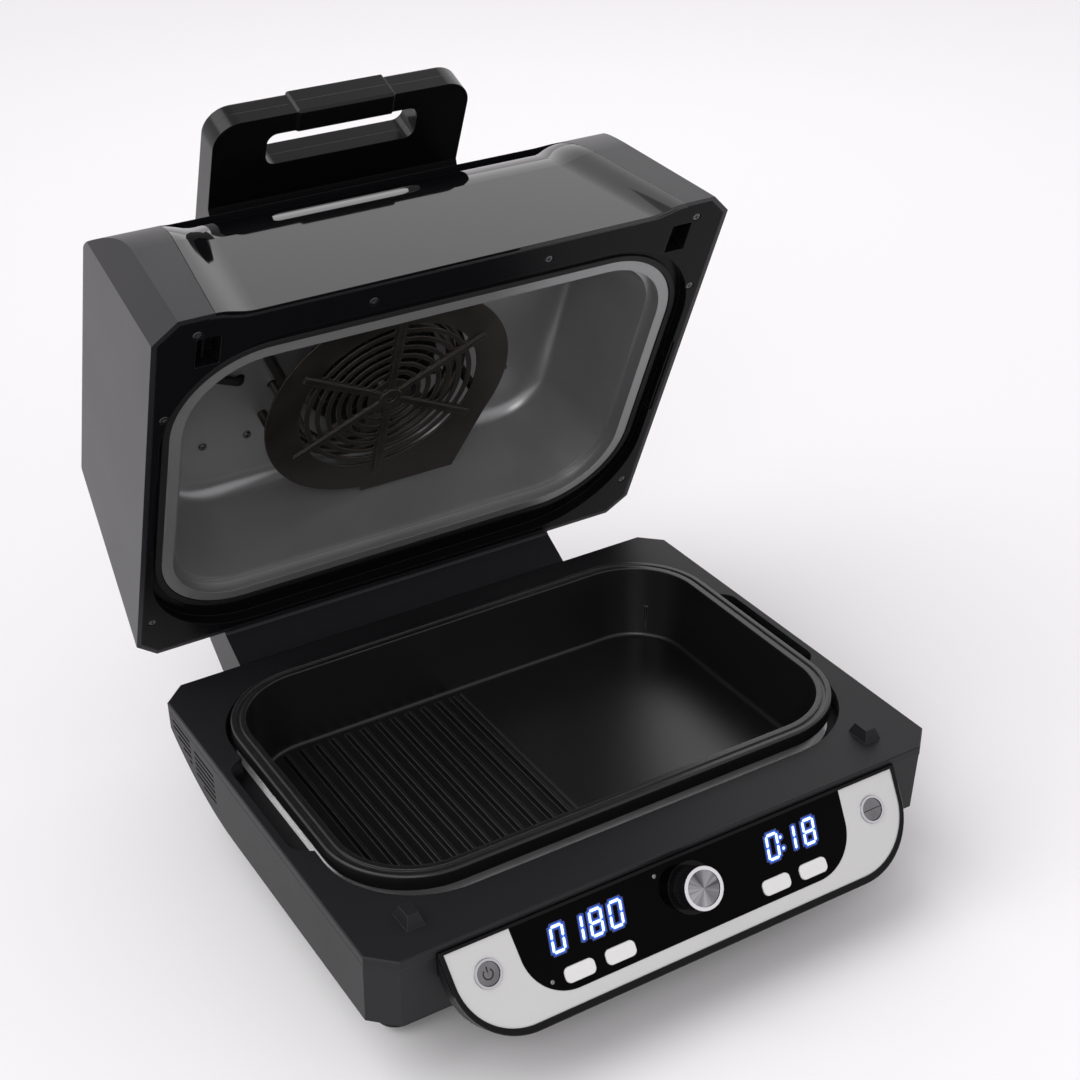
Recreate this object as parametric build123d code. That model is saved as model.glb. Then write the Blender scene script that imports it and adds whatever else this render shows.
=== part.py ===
from build123d import *
import math
import os

# Base: everything is drawn about the middle of the deck's top face, then moved onto its feet
BODY_DEPTH = 347.3
CORNER_CUT = 16.2
DECK_HEIGHT = 110.0
DECK_LIP = 6.4
DECK_PLATE = 3.0
SEAM = 0.6
WALL = 3.0
SHELL_DROP = 53.5
FRONT_LEAN = 4.5
REAR_SWEEP_START = 50.0
REAR_SWEEP_RADIUS = 200.0
CLEARANCE = 0.3

# Deck opening round the pan, with a finger recess at each side
OPENING_HALF = 196.7
OPENING_FRONT = -134.3
OPENING_BACK = 149.0
OPENING_RADIUS = 69.0
OPENING_DEPTH = 15.0
RECESS_HALF = 209.2
RECESS_LAND = 5.8
RECESS_FRONT = -57.0
RECESS_BACK = 71.0
RECESS_BLEND = 20.0
SKIRT_WALL = 2.5

# The body is as wide as the recesses and the land outside each
BODY_WIDTH = 2 * (RECESS_HALF + RECESS_LAND)

# Grill pan
PAN_HALF = 194.3
PAN_FRONT = -125.1
PAN_BACK = 140.0
PAN_RADIUS = 64.3
PAN_RIM_TOP = 8.5
PAN_RIM_WIDTH = 10.6
PAN_SKIRT_BOTTOM = -2.5
PAN_SKIRT_WALL = 1.6
PAN_REST = 0.1
PAN_WALL = 2.6
PAN_FLOOR = -50.0
PAN_FLOOR_THICKNESS = 4.0
PAN_DRAFT = 5.7
PAN_FLOOR_RADIUS = 46.0
PAN_GROOVE_WIDTH = 2.6
PAN_GROOVE_DEPTH = 1.4
GRILL_RIB_COUNT = 13
GRILL_RIB_PITCH = 12.6
GRILL_RIB_WIDTH = 5.0
GRILL_RIB_HEIGHT = 4.5
GRILL_RIB_FRONT = -106.0
GRILL_RIB_BACK = 118.0
GRILL_RIB_GAP = 3.0
LEVEL_RIB_AT = (166.0, 114.0)
LEVEL_RIB_SIZE = 2.4
LEVEL_RIB_TOP = -24.0

# Heat bowl under the pan
BOWL_GAP = 1.1
BOWL_WALL = 0.9
BOWL_TOP = 2.0
BOWL_BEAD = 1.0
BOWL_FLOOR = -76.0
BOWL_TAPER = 9.6
BOWL_EDGE_RADIUS = 10.0
BOWL_FLANGE_HALF = 203.0
BOWL_FLANGE_THICKNESS = 1.0

# Lower heating element
PROBE_RADIUS = 4.0
ELEMENT_RADIUS = 3.5
ELEMENT_LEVEL = -63.0
ELEMENT_HALF = 150.0
ELEMENT_FRONT = -88.0
ELEMENT_BACK = 92.0
ELEMENT_BEND = 24.0
TERMINAL_X = 26.0
TERMINAL_BACK = 150.0
CLIP_THICKNESS = 1.2
CLIP_WIDTH = 14.0
CLIP_X = 60.0

# Bottom cover and feet
TUB_HALF = 188.0
TUB_FRONT = -122.0
TUB_BACK = 160.0
TUB_RADIUS = 14.0
TUB_WALL = 2.5
FOOT_HEIGHT = 6.0
FOOT_RADIUS = 12.0
FOOT_X = 165.0
FOOT_FRONT = -100.0
FOOT_BACK = 140.0
GLAND_X = 60.0
GLAND_Z = -84.0
GLAND_RADIUS = 7.0
GLAND_FLANGE = 4.0
LIP_STRIP_HALF = 196.0
LIP_STRIP_HEIGHT = 3.0

# Supply board in the tub: blocks are placed from its middle, as x, y, length, depth, height
POWER_BOARD_AT = (-70.0, 20.0)
POWER_BOARD_SIZE = (120.0, 90.0)
BOARD_RAISE = 9.0
BOARD_EDGE = 6.0
BOARD_BLOCKS = ((-25.0, 15.0, 30.0, 26.0, 11.0), (0.0, 25.0, 14.0, 20.0, 8.0))
CAPACITOR = (8.0, 10.0)

# Side vents
VENT_GROUPS = ((118.0, 33.0, -11.5), (76.0, 35.0, -15.0))
VENT_SLOTS = 6
VENT_PITCH = 4.6
VENT_HEIGHT = 2.2
VENT_MARGIN = 4.0

# Locating pegs on the deck
PEG_INSET = 39.0
PEG_X = BODY_WIDTH / 2 - PEG_INSET
PEG_Y = -142.5
PEG_WIDTH = 12.7
PEG_LENGTH = 19.0
PEG_HEIGHT = 8.0
PEG_TOP_SHARE = 0.62

# Control panel, on a plane that leans forward at its lower edge
PANEL_TILT = 33.2
PANEL_Y = -175.05
PANEL_Z = -3.8
PANEL_HALF_TOP = 174.3
PANEL_HALF_BOTTOM = 169.6
PANEL_DROP = 67.0
PANEL_CORNER = 47.0
BEZEL_PROUD = 0.3
BEZEL_CHAMFER = 0.6
PLATE_HALF_TOP = 171.0
PLATE_HALF_BOTTOM = 166.8
PLATE_TOP = 2.2
PLATE_BOTTOM = 62.2
PLATE_CORNER = 43.0
PLATE_SUNK = 0.6
GLASS_HALF_TOP = 126.3
GLASS_HALF_BOTTOM = 122.0
GLASS_BOTTOM = 52.5
GLASS_CORNER = 32.0
GLASS_SUNK = 0.3
PANEL_STACK = 2.6
HOUSING_DEPTH = 14.0
HOUSING_WALL = 2.4
NECK_HALF = 158.0
NECK_TOP_DOWN = 16.0
NECK_LOW_DOWN = 42.0
BOARD_LEVEL = 9.0
BOARD_THICKNESS = 1.6

# Controls on the panel, each placed by its distance across and down the panel
ROUND_BUTTON_X = 147.4
ROUND_BUTTON_DOWN = 22.7
RING_RADIUS = 9.25
RING_WIDTH = 1.6
ROUND_TRAVEL = 1.5
KNOB_DOWN = 23.0
KNOB_RADIUS = 14.0
KNOB_TOP = 17.0
KNOB_GAP = 0.4
KNOB_RIM = 2.4
KNOB_SUNK = 0.8
KNOB_FLUTES = 36
KNOB_FLUTE_RADIUS = 0.7
ENCODER_SIZE = 13.0
COLLAR_RADIUS = 17.0
COLLAR_TOP = 0.9
KNOB_SHAFT_RADIUS = 3.0
RUNNING_FIT = 0.05
PILL_X = (89.9, 60.2)
PILL_DOWN = 43.0
PILL_WIDTH = 21.5
PILL_HEIGHT = 10.0
PILL_CORNER = 3.6
PILL_CHAMFER = 0.4
PILL_TRAVEL = 1.0
SWITCH_GAP = 0.1
SWITCH_RADIUS = 3.0
BUTTON_PROUD = 1.0
BUTTON_FLANGE = 1.0
BUTTON_DEPTH = 5.0
DISPLAY_X = (-76.6, 81.5)
DISPLAY_DOWN = 19.5
DISPLAY_SIZE = (58.0, 24.0)

# Hinge
HINGE_Y = 196.5
HINGE_Z = -34.2
LID_OPEN = 65.6
BUSH_LENGTH = 18.0
PIN_RADIUS = 4.0
BUSH_RADIUS = 7.0
BARREL_RADIUS = 15.0
ARM_HALF = 143.0
WASHER_THICKNESS = 1.3
LUG_THICKNESS = 13.0
LUG_GAP = 0.1

# Lid, drawn closed and then swung open about the hinge
LID_RIM = 2.0
LID_TOP = 165.0
LID_FRONT = -173.6
LID_BACK = 174.0
LID_FRONT_LEAN = 16.57
LID_BACK_LEAN = 12.66
LID_SIDE_LEAN = 5.1
LID_FRONT_ROUND = 95.0
LID_BACK_ROUND = 35.0
LID_SIDE_ROUND = 18.0
LID_CUT = 16.4
LID_WALL = 3.5

# Glossy front panel of the lid, dished between the matte cheeks
GLOSS_HALF = 174.2
GLOSS_TAPER = 0.1417
GLOSS_TOP = 143.5
GLOSS_CORNER = 14.0
GLOSS_DISH = 5.0
GLOSS_FLANK = 28.0
GLOSS_THICKNESS = 2.5
GLOSS_FLOOR = 1.8
GLOSS_SWEEP = 60.0

# Lid frame, seal and liner
FRAME_PLATE = 2.8
FRAME_HEIGHT = 12.0
FRAME_WALL = 2.5
SUNK_HALF = 206.0
SUNK_FRONT = -141.0
SUNK_BACK = 165.0
SUNK_RADIUS = 85.0
SUNK_DEPTH = 8.3
SOCKET_OFFSET = 1.0
SOCKET_X = PEG_X + SOCKET_OFFSET
SOCKET_Y = -141.0
SOCKET_WIDTH = 16.5
SOCKET_LENGTH = 25.0
SOCKET_DEPTH = 14.0
SOCKET_WALL = 2.0
FLANGE_HALF = 195.7
FLANGE_FRONT = -122.9
FLANGE_BACK = 143.0
FLANGE_RADIUS = 67.5
FLANGE_WIDTH = 8.5
LINER_SHEET = 0.8
STEP_RISE = 8.7
STEP_WIDTH = 4.4
CEILING_LEVEL = 98.0
CEILING_HALF = 168.0
CEILING_FRONT = -92.0
CEILING_BACK = 124.0
CEILING_RADIUS = 50.0
CEILING_EDGE = 16.0
SEAL_INNER = 0.7
SEAL_WIDTH = 4.6
SEAL_HEIGHT = 1.6
SEAL_ROUND = 0.7
FRAME_SCREWS = ((-203.4, 132.8), (-184.8, -157.0), (-203.7, -86.3), (-63.0, -150.0),
                (68.8, -150.0), (188.2, -157.0), (203.7, -86.3), (203.4, 132.8))
LINER_SCREWS = ((-128.9, 69.3), (-93.4, 68.6), (128.9, 69.3))
SCREW_HEAD = 3.2
SCREW_SHANK = 1.5
SCREW_HEAD_HEIGHT = 1.6

# Fan, upper element and guard
FAN_Y = 18.9
GUARD_LEVEL = 58.5
GUARD_RADIUS = 100.0
GUARD_SHEET = 1.2
GUARD_CORNER = (71.0, 105.0)
GUARD_TAB = -10.0
GUARD_SLOT_RINGS = (20.0, 28.5, 37.0, 45.5, 54.0, 62.5, 71.0)
GUARD_SLOT_WIDTH = 4.6
SPOKE_COUNT = 6
SPOKE_TURN = 30.0
SPOKE_WIDTH = 5.0
SPOKE_HEIGHT = 1.8
HUB_RADIUS = 9.0
POST_RADIUS = 4.0
POST_RING = 88.0
POST_ANGLES = (20.0, 160.0, 200.0, 340.0)
COIL_TUBE = 3.2
COIL_LEVEL = 75.0
COIL_INNER = 60.0
COIL_GROWTH = 4.2
COIL_HALF_TURNS = 4
LEAD_POINTS = ((-150.0, -40.0), (-128.0, -8.0))
LEAD_END = (-104.0, 4.0)
LEAD_BEND = 5.0
BLADE_COUNT = 10
BLADE_INNER = 10.0
BLADE_OUTER = 50.0
BLADE_LOW = 68.0
BLADE_HIGH = 88.0
BLADE_THICKNESS = 1.2
FAN_SHAFT_RADIUS = 3.0
SHAFT_LOW = 70.0
SHAFT_HIGH = 132.0
MOTOR_RADIUS = 32.0
MOTOR_LOW = 108.0
MOTOR_HIGH = 142.0
BRACKET_HALF = 38.0

# Handle, drawn with the lid closed
HANDLE_HALF = 100.0
HANDLE_FRONT = -160.0
HANDLE_UNDERSIDE = 178.0
HANDLE_TOP = 199.0
HANDLE_SEAM = 188.0
HANDLE_CORNER = 20.0
HANDLE_REACH = -87.0
HANDLE_ROOT_FRONT = -70.0
HANDLE_ROOT_BACK = -12.0
HANDLE_SHOULDER = -40.0
SLOT_HALF = 59.0
SLOT_FRONT = -144.0
SLOT_BACK = -117.3
SLOT_CORNER = 8.0
GRIP_HALF = 38.0
GRIP_SWELL = 1.6
HANDLE_WALL = 3.0

# Latch keepers at the sides of the lid's sunken ring
KEEPER_FRONT = -27.0
KEEPER_BACK = 49.0
KEEPER_DEPTH = 2.4

PANEL = Plane(
    origin=(0, PANEL_Y, PANEL_Z),
    x_dir=(1, 0, 0),
    z_dir=(0, -math.cos(math.radians(PANEL_TILT)), math.sin(math.radians(PANEL_TILT))),
)
FOOT_TOP = -DECK_HEIGHT + FOOT_HEIGHT


def rounded(half, front, back, radius, grow=0.0):
    """A rounded rectangle in plan, symmetric about x = 0 and grown on every side."""
    face = RectangleRounded(2 * (half + grow), back - front + 2 * grow, radius + grow)
    return Pos(0, (front + back) / 2) * face


def octagon(half, front, back, cut):
    """A rectangle in plan with its four corners cut at 45 degrees."""
    points = [(-half + cut, front), (half - cut, front), (half, front + cut), (half, back - cut),
              (half - cut, back), (-half + cut, back), (-half, back - cut), (-half, front + cut)]
    return make_face(Polyline(*points, close=True))


def prism(face, low, high):
    """A plan outline extruded between two heights."""
    return Pos(0, 0, low) * extrude(face, high - low)


def side_prism(face, low, high):
    """An outline in the side view (y, z) extruded between two places across."""
    return Pos(low, 0, 0) * extrude(Plane.YZ * face, high - low)


def front_prism(face, reach):
    """An outline in the front view (x, z) extruded both ways along the depth."""
    return extrude(Plane.XZ * face, reach, both=True)


def tube(radius, bore, low, high):
    """A ring standing on the plan between two heights."""
    return prism(Circle(radius) - Circle(bore), low, high)


def on_panel(face, across, down, low, high):
    """An outline laid on the control panel and extruded along the panel's outward normal."""
    return PANEL * (Pos(across, -down, low) * extrude(face, high - low))


def across_axis(radius, low, high):
    """A round bar on the hinge axis between two places across."""
    return side_prism(Pos(HINGE_Y, HINGE_Z) * Circle(radius), low, high)


def mirrored(shape):
    """A shape together with its mirror image in the plane x = 0."""
    return [shape, mirror(shape, Plane.YZ)]


def on_lid(shape):
    """A shape drawn with the lid closed, swung open about the hinge."""
    return Pos(0, HINGE_Y, HINGE_Z) * Rot(-LID_OPEN, 0, 0) * Pos(0, -HINGE_Y, -HINGE_Z) * shape


# Base housing

def recess_face(grow=0.0):
    """The finger recess at the right side of the deck opening."""
    inner = OPENING_HALF - 2 * WALL
    outer = RECESS_HALF + grow
    front = RECESS_FRONT - grow
    back = RECESS_BACK + grow
    lower = Spline((inner, front), (outer, front + RECESS_BLEND), tangents=((0.6, 0.8), (0, 1)))
    edge = Line((outer, front + RECESS_BLEND), (outer, back - RECESS_BLEND))
    upper = Spline((outer, back - RECESS_BLEND), (inner, back), tangents=((0, 1), (-0.6, 0.8)))
    return make_face([lower, edge, upper, Line((inner, back), (inner, front))])


def opening_face(grow=0.0):
    """The deck opening: the ring round the pan and both finger recesses."""
    face = rounded(OPENING_HALF, OPENING_FRONT, OPENING_BACK, OPENING_RADIUS, grow)
    recess = recess_face(grow)
    return face + recess + mirror(recess, Plane.YZ)


def bowl_outline(grow=0.0):
    """The plan outline of the heat bowl's outer wall at its top."""
    inset = BOWL_GAP + PAN_SKIRT_WALL + BOWL_BEAD
    return rounded(PAN_HALF, PAN_FRONT, PAN_BACK, PAN_RADIUS, grow - inset)


def panel_envelope(grow):
    """The room that the control panel takes in front of the base."""
    face = offset(panel_outline(0.0), amount=grow)
    return on_panel(face, 0, 0, -HOUSING_DEPTH - grow, 4 * HOUSING_DEPTH)


def base_profile(inset):
    """The side outline of the base shell, swept up towards the rear."""
    centre_z = -SHELL_DROP + REAR_SWEEP_RADIUS
    radius = REAR_SWEEP_RADIUS - inset
    back = BODY_DEPTH / 2 + WALL - inset
    rise = math.sqrt(radius ** 2 - (back - REAR_SWEEP_START) ** 2)
    front = -BODY_DEPTH / 2 - 2 * WALL
    start = (REAR_SWEEP_START, -SHELL_DROP + inset)
    end = (back, centre_z - rise)
    middle_turn = (math.asin((back - REAR_SWEEP_START) / radius)) / 2
    middle = (REAR_SWEEP_START + radius * math.sin(middle_turn), centre_z - radius * math.cos(middle_turn))
    edges = [
        Line((front, start[1]), start),
        ThreePointArc(start, middle, end),
        Line(end, (back, 2 * WALL)),
        Line((back, 2 * WALL), (front, 2 * WALL)),
        Line((front, 2 * WALL), (front, start[1])),
    ]
    return make_face(edges)


def base_block(inset):
    """The base shell's outside, drawn in by an inset, from its floor to above its rim."""
    half = BODY_WIDTH / 2 - inset
    front = -BODY_DEPTH / 2 + inset
    back = BODY_DEPTH / 2 - inset
    cut = CORNER_CUT - inset * (2 - math.sqrt(2))
    lean = FRONT_LEAN / SHELL_DROP
    high = 2 * WALL
    low = -SHELL_DROP - WALL
    upper = Pos(0, 0, high) * octagon(half, front - high * lean, back, cut)
    lower = Pos(0, 0, low) * octagon(half, front - low * lean, back, cut)
    block = loft([lower, upper], ruled=True)
    return block & side_prism(base_profile(inset), -BODY_WIDTH, BODY_WIDTH)


def above(shape, level):
    """The part of a shape above a level."""
    room = 4 * BODY_WIDTH
    return shape & Pos(0, 0, level + room / 2) * Box(room, room, room)


def below(shape, level):
    """The part of a shape below a level."""
    room = 4 * BODY_WIDTH
    return shape & Pos(0, 0, level - room / 2) * Box(room, room, room)


def make_base_deck():
    """The top plate with its lip, the skirt round the opening and the two locating pegs."""
    half = BODY_WIDTH / 2
    outline = octagon(half, -BODY_DEPTH / 2, BODY_DEPTH / 2, CORNER_CUT)
    plate = prism(outline, -DECK_LIP, 0)
    plate = chamfer(plate.edges().group_by(Axis.Z)[-1], 0.8)
    inside = octagon(half - WALL, -BODY_DEPTH / 2 + WALL, BODY_DEPTH / 2 - WALL, CORNER_CUT - WALL / 2)
    plate -= prism(inside, -DECK_LIP - 1, -DECK_PLATE)
    collar = base_block(WALL + CLEARANCE) - base_block(WALL + CLEARANCE + SKIRT_WALL)
    plate += above(below(collar, -DECK_PLATE / 2), -2 * DECK_LIP)
    plate += prism(opening_face(SKIRT_WALL), -OPENING_DEPTH - SKIRT_WALL, -DECK_PLATE / 2)
    plate -= prism(opening_face(), -OPENING_DEPTH, 1)
    plate -= prism(bowl_outline(2 * BOWL_BEAD), -DECK_HEIGHT / 2, 1)
    base = Rectangle(PEG_WIDTH, PEG_LENGTH)
    tip = Rectangle(PEG_WIDTH * PEG_TOP_SHARE, PEG_LENGTH * PEG_TOP_SHARE)
    peg = loft([Pos(0, 0, -1) * base, base, Pos(0, 0, PEG_HEIGHT) * tip], ruled=True)
    for side in (-1, 1):
        plate += Pos(side * PEG_X, PEG_Y, 0) * peg
    return plate - panel_envelope(CLEARANCE)


def vent_slots():
    """The louvre slots of the left side wall."""
    slots = []
    centre_z = -SHELL_DROP + REAR_SWEEP_RADIUS
    for start, length, top in VENT_GROUPS:
        for index in range(VENT_SLOTS):
            z = top - index * VENT_PITCH
            reach = REAR_SWEEP_RADIUS - 2 * VENT_MARGIN
            drop = centre_z - z + VENT_HEIGHT / 2
            limit = REAR_SWEEP_START + math.sqrt(max(reach ** 2 - drop ** 2, 0.0))
            end = min(start + length, limit)
            if end - start > VENT_MARGIN:
                slot = Box(4 * WALL, end - start, VENT_HEIGHT)
                slots.append(Pos(-BODY_WIDTH / 2, (start + end) / 2, z) * slot)
    return slots


def tub_outline(grow=0.0):
    """The plan outline of the bottom cover's tub."""
    return rounded(TUB_HALF, TUB_FRONT, TUB_BACK, TUB_RADIUS, grow)


def make_base_shell():
    """The side walls and the swept underside, with vents and the room for panel and tub."""
    shell = below(base_block(0.0) - base_block(WALL), -DECK_LIP - SEAM)
    shell -= prism(tub_outline(CLEARANCE), -DECK_HEIGHT, -DECK_LIP)
    shell -= panel_envelope(CLEARANCE)
    neck = Box(2 * (NECK_HALF + CLEARANCE), 8 * WALL, SHELL_DROP - 2 * DECK_LIP - 2 * WALL)
    shell -= Pos(0, -BODY_DEPTH / 2, -SHELL_DROP / 2 - WALL) * neck
    for slot in vent_slots():
        for cutter in mirrored(slot):
            shell -= cutter
    return shell


def foot_places():
    """The four places of the feet."""
    return [(side * FOOT_X, y) for side in (-1, 1) for y in (FOOT_FRONT, FOOT_BACK)]


def make_bottom_cover():
    """The tub that closes the base from below, with a front strip, vents and foot seats."""
    floor = FOOT_TOP + TUB_WALL
    tub = prism(tub_outline(), FOOT_TOP, -DECK_LIP)
    tub -= prism(tub_outline(-TUB_WALL), floor, 0)
    tub -= side_prism(base_profile(3 * WALL), -BODY_WIDTH, BODY_WIDTH)
    depth = TUB_FRONT + BODY_DEPTH / 2 - 2 * FRONT_LEAN
    strip = Pos(0, TUB_FRONT - depth / 2) * Rectangle(2 * LIP_STRIP_HALF, depth)
    tub += prism(strip, -SHELL_DROP - LIP_STRIP_HEIGHT, -SHELL_DROP)
    for column in range(-5, 6):
        for y in (-60.0, 60.0):
            slot = Box(FOOT_HEIGHT, 3 * FOOT_RADIUS, 4 * TUB_WALL)
            tub -= Pos(column * 2 * FOOT_RADIUS, y, FOOT_TOP) * slot
    for x, y in foot_places():
        tub -= Pos(x, y, 0) * prism(Circle(SCREW_SHANK), FOOT_TOP - 1, floor + 1)
    tub -= Pos(GLAND_X, TUB_BACK, GLAND_Z) * Rot(90, 0, 0) * Cylinder(GLAND_RADIUS, 6 * TUB_WALL)
    return tub


def make_rubber_feet():
    """Four tapered feet, each with a screw hole."""
    feet = []
    for x, y in foot_places():
        foot = loft([Circle(FOOT_RADIUS - 1.5), Pos(0, 0, FOOT_HEIGHT) * Circle(FOOT_RADIUS)], ruled=True)
        foot -= Pos(0, 0, FOOT_HEIGHT / 2) * Cylinder(SCREW_SHANK, 2 * FOOT_HEIGHT)
        foot -= Pos(0, 0, FOOT_HEIGHT / 6) * Cylinder(2 * SCREW_HEAD_HEIGHT, FOOT_HEIGHT / 3)
        feet.append(Pos(x, y, -DECK_HEIGHT) * foot)
    return feet


def bowl_taper_at(level):
    """How far the bowl's wall has drawn in at a level below its top."""
    return BOWL_TAPER * (BOWL_TOP - level) / (BOWL_TOP - BOWL_FLOOR)


def bowl_body(inset, high):
    """The bowl's tapering form drawn in by an inset, its floor edge rounded."""
    low = BOWL_FLOOR + inset
    lower = Pos(0, 0, low) * bowl_outline(-BOWL_TAPER - inset)
    upper = Pos(0, 0, high) * bowl_outline(-inset)
    body = loft([lower, upper], ruled=True)
    return fillet(body.edges().group_by(Axis.Z)[0], BOWL_EDGE_RADIUS - inset)


def make_heat_bowl():
    """The steel bowl that carries the pan on its bead, with a fixing flange under the deck."""
    bowl = bowl_body(0.0, BOWL_TOP) - bowl_body(BOWL_WALL, BOWL_TOP + 1)
    bead = prism(bowl_outline(BOWL_BEAD), BOWL_TOP - 2 * BOWL_BEAD, BOWL_TOP)
    bowl += bead - prism(bowl_outline(-BOWL_WALL / 2), BOWL_TOP - 3 * BOWL_BEAD, BOWL_TOP + 1)
    level = -OPENING_DEPTH - SKIRT_WALL
    flange = rounded(BOWL_FLANGE_HALF, PAN_FRONT - WALL, PAN_BACK + WALL, PAN_RADIUS)
    hole = bowl_outline(-bowl_taper_at(level) - BOWL_WALL / 2)
    bowl += prism(flange, level - BOWL_FLANGE_THICKNESS, level) - prism(hole, 3 * level, 0)
    for side in (-1, 1):
        hole = Rot(90, 0, 0) * Cylinder(ELEMENT_RADIUS + CLEARANCE, 6 * BOWL_EDGE_RADIUS)
        bowl -= Pos(side * TERMINAL_X, PAN_BACK, ELEMENT_LEVEL) * hole
    bowl -= Pos(0, FAN_Y, BOWL_FLOOR) * Cylinder(PROBE_RADIUS + CLEARANCE, 4 * BOWL_WALL)
    return bowl


def make_lower_heater():
    """The tubular element under the pan: one loop with both ends leaving at the back."""
    path = FilletPolyline(
        (-TERMINAL_X, TERMINAL_BACK), (-TERMINAL_X, ELEMENT_BACK), (-ELEMENT_HALF, ELEMENT_BACK),
        (-ELEMENT_HALF, ELEMENT_FRONT), (ELEMENT_HALF, ELEMENT_FRONT), (ELEMENT_HALF, ELEMENT_BACK),
        (TERMINAL_X, ELEMENT_BACK), (TERMINAL_X, TERMINAL_BACK), radius=ELEMENT_BEND)
    start = Plane(origin=path @ 0, z_dir=path % 0)
    return Pos(0, 0, ELEMENT_LEVEL) * sweep(start * Circle(ELEMENT_RADIUS), path=path)


def make_heater_clips():
    """Upright sheet clips that hold the element off the bowl's floor."""
    clips = []
    low = BOWL_FLOOR + BOWL_WALL
    height = ELEMENT_LEVEL + 2 * ELEMENT_RADIUS - low
    sides = [(-ELEMENT_HALF, 0, 0), (ELEMENT_HALF, 0, 0)]
    front = [(-CLIP_X, ELEMENT_FRONT, 90), (CLIP_X, ELEMENT_FRONT, 90)]
    for x, y, turn in sides + front:
        clip = Pos(0, 0, low + height / 2) * Box(CLIP_WIDTH, CLIP_THICKNESS, height)
        foot = Box(CLIP_WIDTH, CLIP_WIDTH / 2, CLIP_THICKNESS)
        clip += Pos(0, CLIP_WIDTH / 4, low + CLIP_THICKNESS / 2) * foot
        clip -= Pos(0, 0, ELEMENT_LEVEL) * Rot(90, 0, 0) * Cylinder(ELEMENT_RADIUS, CLIP_WIDTH)
        clips.append(Pos(x, y, 0) * Rot(0, 0, turn) * clip)
    return clips


def make_temperature_probe():
    """The sensing post in the middle of the bowl, just short of the pan's underside."""
    top = PAN_FLOOR - PAN_FLOOR_THICKNESS - 1.0
    probe = prism(Circle(PROBE_RADIUS), BOWL_FLOOR - 4 * PROBE_RADIUS / 2, top)
    probe += prism(Circle(1.5 * PROBE_RADIUS), BOWL_FLOOR + BOWL_WALL, BOWL_FLOOR + BOWL_WALL + 2)
    return Pos(0, FAN_Y, 0) * probe


# Control panel

def lower_rounded(half_top, half_bottom, top, bottom, radius):
    """A tapering outline on the panel whose two lower corners are rounded."""
    face = make_face(Polyline((-half_top, -top), (half_top, -top), (half_bottom, -bottom),
                              (-half_bottom, -bottom), close=True))
    return fillet(face.vertices().group_by(Axis.Y)[0], radius)


def panel_outline(inset):
    """The outline of the whole control panel."""
    return lower_rounded(PANEL_HALF_TOP - inset, PANEL_HALF_BOTTOM - inset, inset, PANEL_DROP - inset,
                         PANEL_CORNER - inset)


def plate_outline(grow=0.0):
    """The outline of the silver plate inside the bezel."""
    return lower_rounded(PLATE_HALF_TOP + grow, PLATE_HALF_BOTTOM + grow, PLATE_TOP - grow,
                         PLATE_BOTTOM + grow, PLATE_CORNER + grow)


def glass_outline(grow=0.0):
    """The outline of the dark glass, which reaches the plate's upper edge."""
    return lower_rounded(GLASS_HALF_TOP + grow, GLASS_HALF_BOTTOM + grow, PLATE_TOP - grow / 4,
                         GLASS_BOTTOM + grow, GLASS_CORNER + grow)


def pill_face(grow=0.0):
    """The outline of a small panel button."""
    return RectangleRounded(PILL_WIDTH + 2 * grow, PILL_HEIGHT + 2 * grow, PILL_CORNER + grow)


def pill_places():
    """Where the four small buttons sit, from left to right."""
    return [-PILL_X[0], -PILL_X[1], PILL_X[1], PILL_X[0]]


def edges_at(shape, height):
    """The edges of a panel part that lie at one height above the panel."""
    def level(edge, place):
        """The height of a point of an edge above the panel."""
        return PANEL.to_local_coords(edge @ place).Z

    return [edge for edge in shape.edges()
            if all(abs(level(edge, place) - height) < 0.01 for place in (0, 0.5, 1))]


def make_panel_bezel():
    """The glossy border round the plate, with a short wall behind it."""
    rim = on_panel(panel_outline(0.0), 0, 0, -PANEL_STACK, BEZEL_PROUD)
    rim = chamfer(edges_at(rim, BEZEL_PROUD), BEZEL_CHAMFER)
    return rim - on_panel(plate_outline(CLEARANCE / 3), 0, 0, -2 * PANEL_STACK, 2 * PANEL_STACK)


def make_panel_plate():
    """The silver plate, open for the glass and the two round buttons."""
    plate = on_panel(plate_outline() - glass_outline(CLEARANCE / 3), 0, 0, -PANEL_STACK, -PLATE_SUNK)
    for side in (-1, 1):
        hole = Circle(RING_RADIUS + CLEARANCE / 6)
        plate -= on_panel(hole, side * ROUND_BUTTON_X, ROUND_BUTTON_DOWN, -2 * PANEL_STACK, 1)
    return plate


def make_display_glass():
    """The dark glass in front of the digits, holed for the knob's shaft and the small buttons."""
    glass = on_panel(glass_outline() & plate_outline(), 0, 0, -PANEL_STACK, -GLASS_SUNK)
    glass -= on_panel(Circle(KNOB_SHAFT_RADIUS + 2), 0, KNOB_DOWN, -2 * PANEL_STACK, 1)
    for x in pill_places():
        glass -= on_panel(pill_face(CLEARANCE), x, PILL_DOWN, -2 * PANEL_STACK, 1)
    return glass


def make_button_rings():
    """The bright rings that frame the two round buttons."""
    rings = []
    for side in (-1, 1):
        ring = Circle(RING_RADIUS) - Circle(RING_RADIUS - RING_WIDTH)
        rings.append(on_panel(ring, side * ROUND_BUTTON_X, ROUND_BUTTON_DOWN, -PANEL_STACK, BUTTON_PROUD / 2))
    return rings


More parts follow.
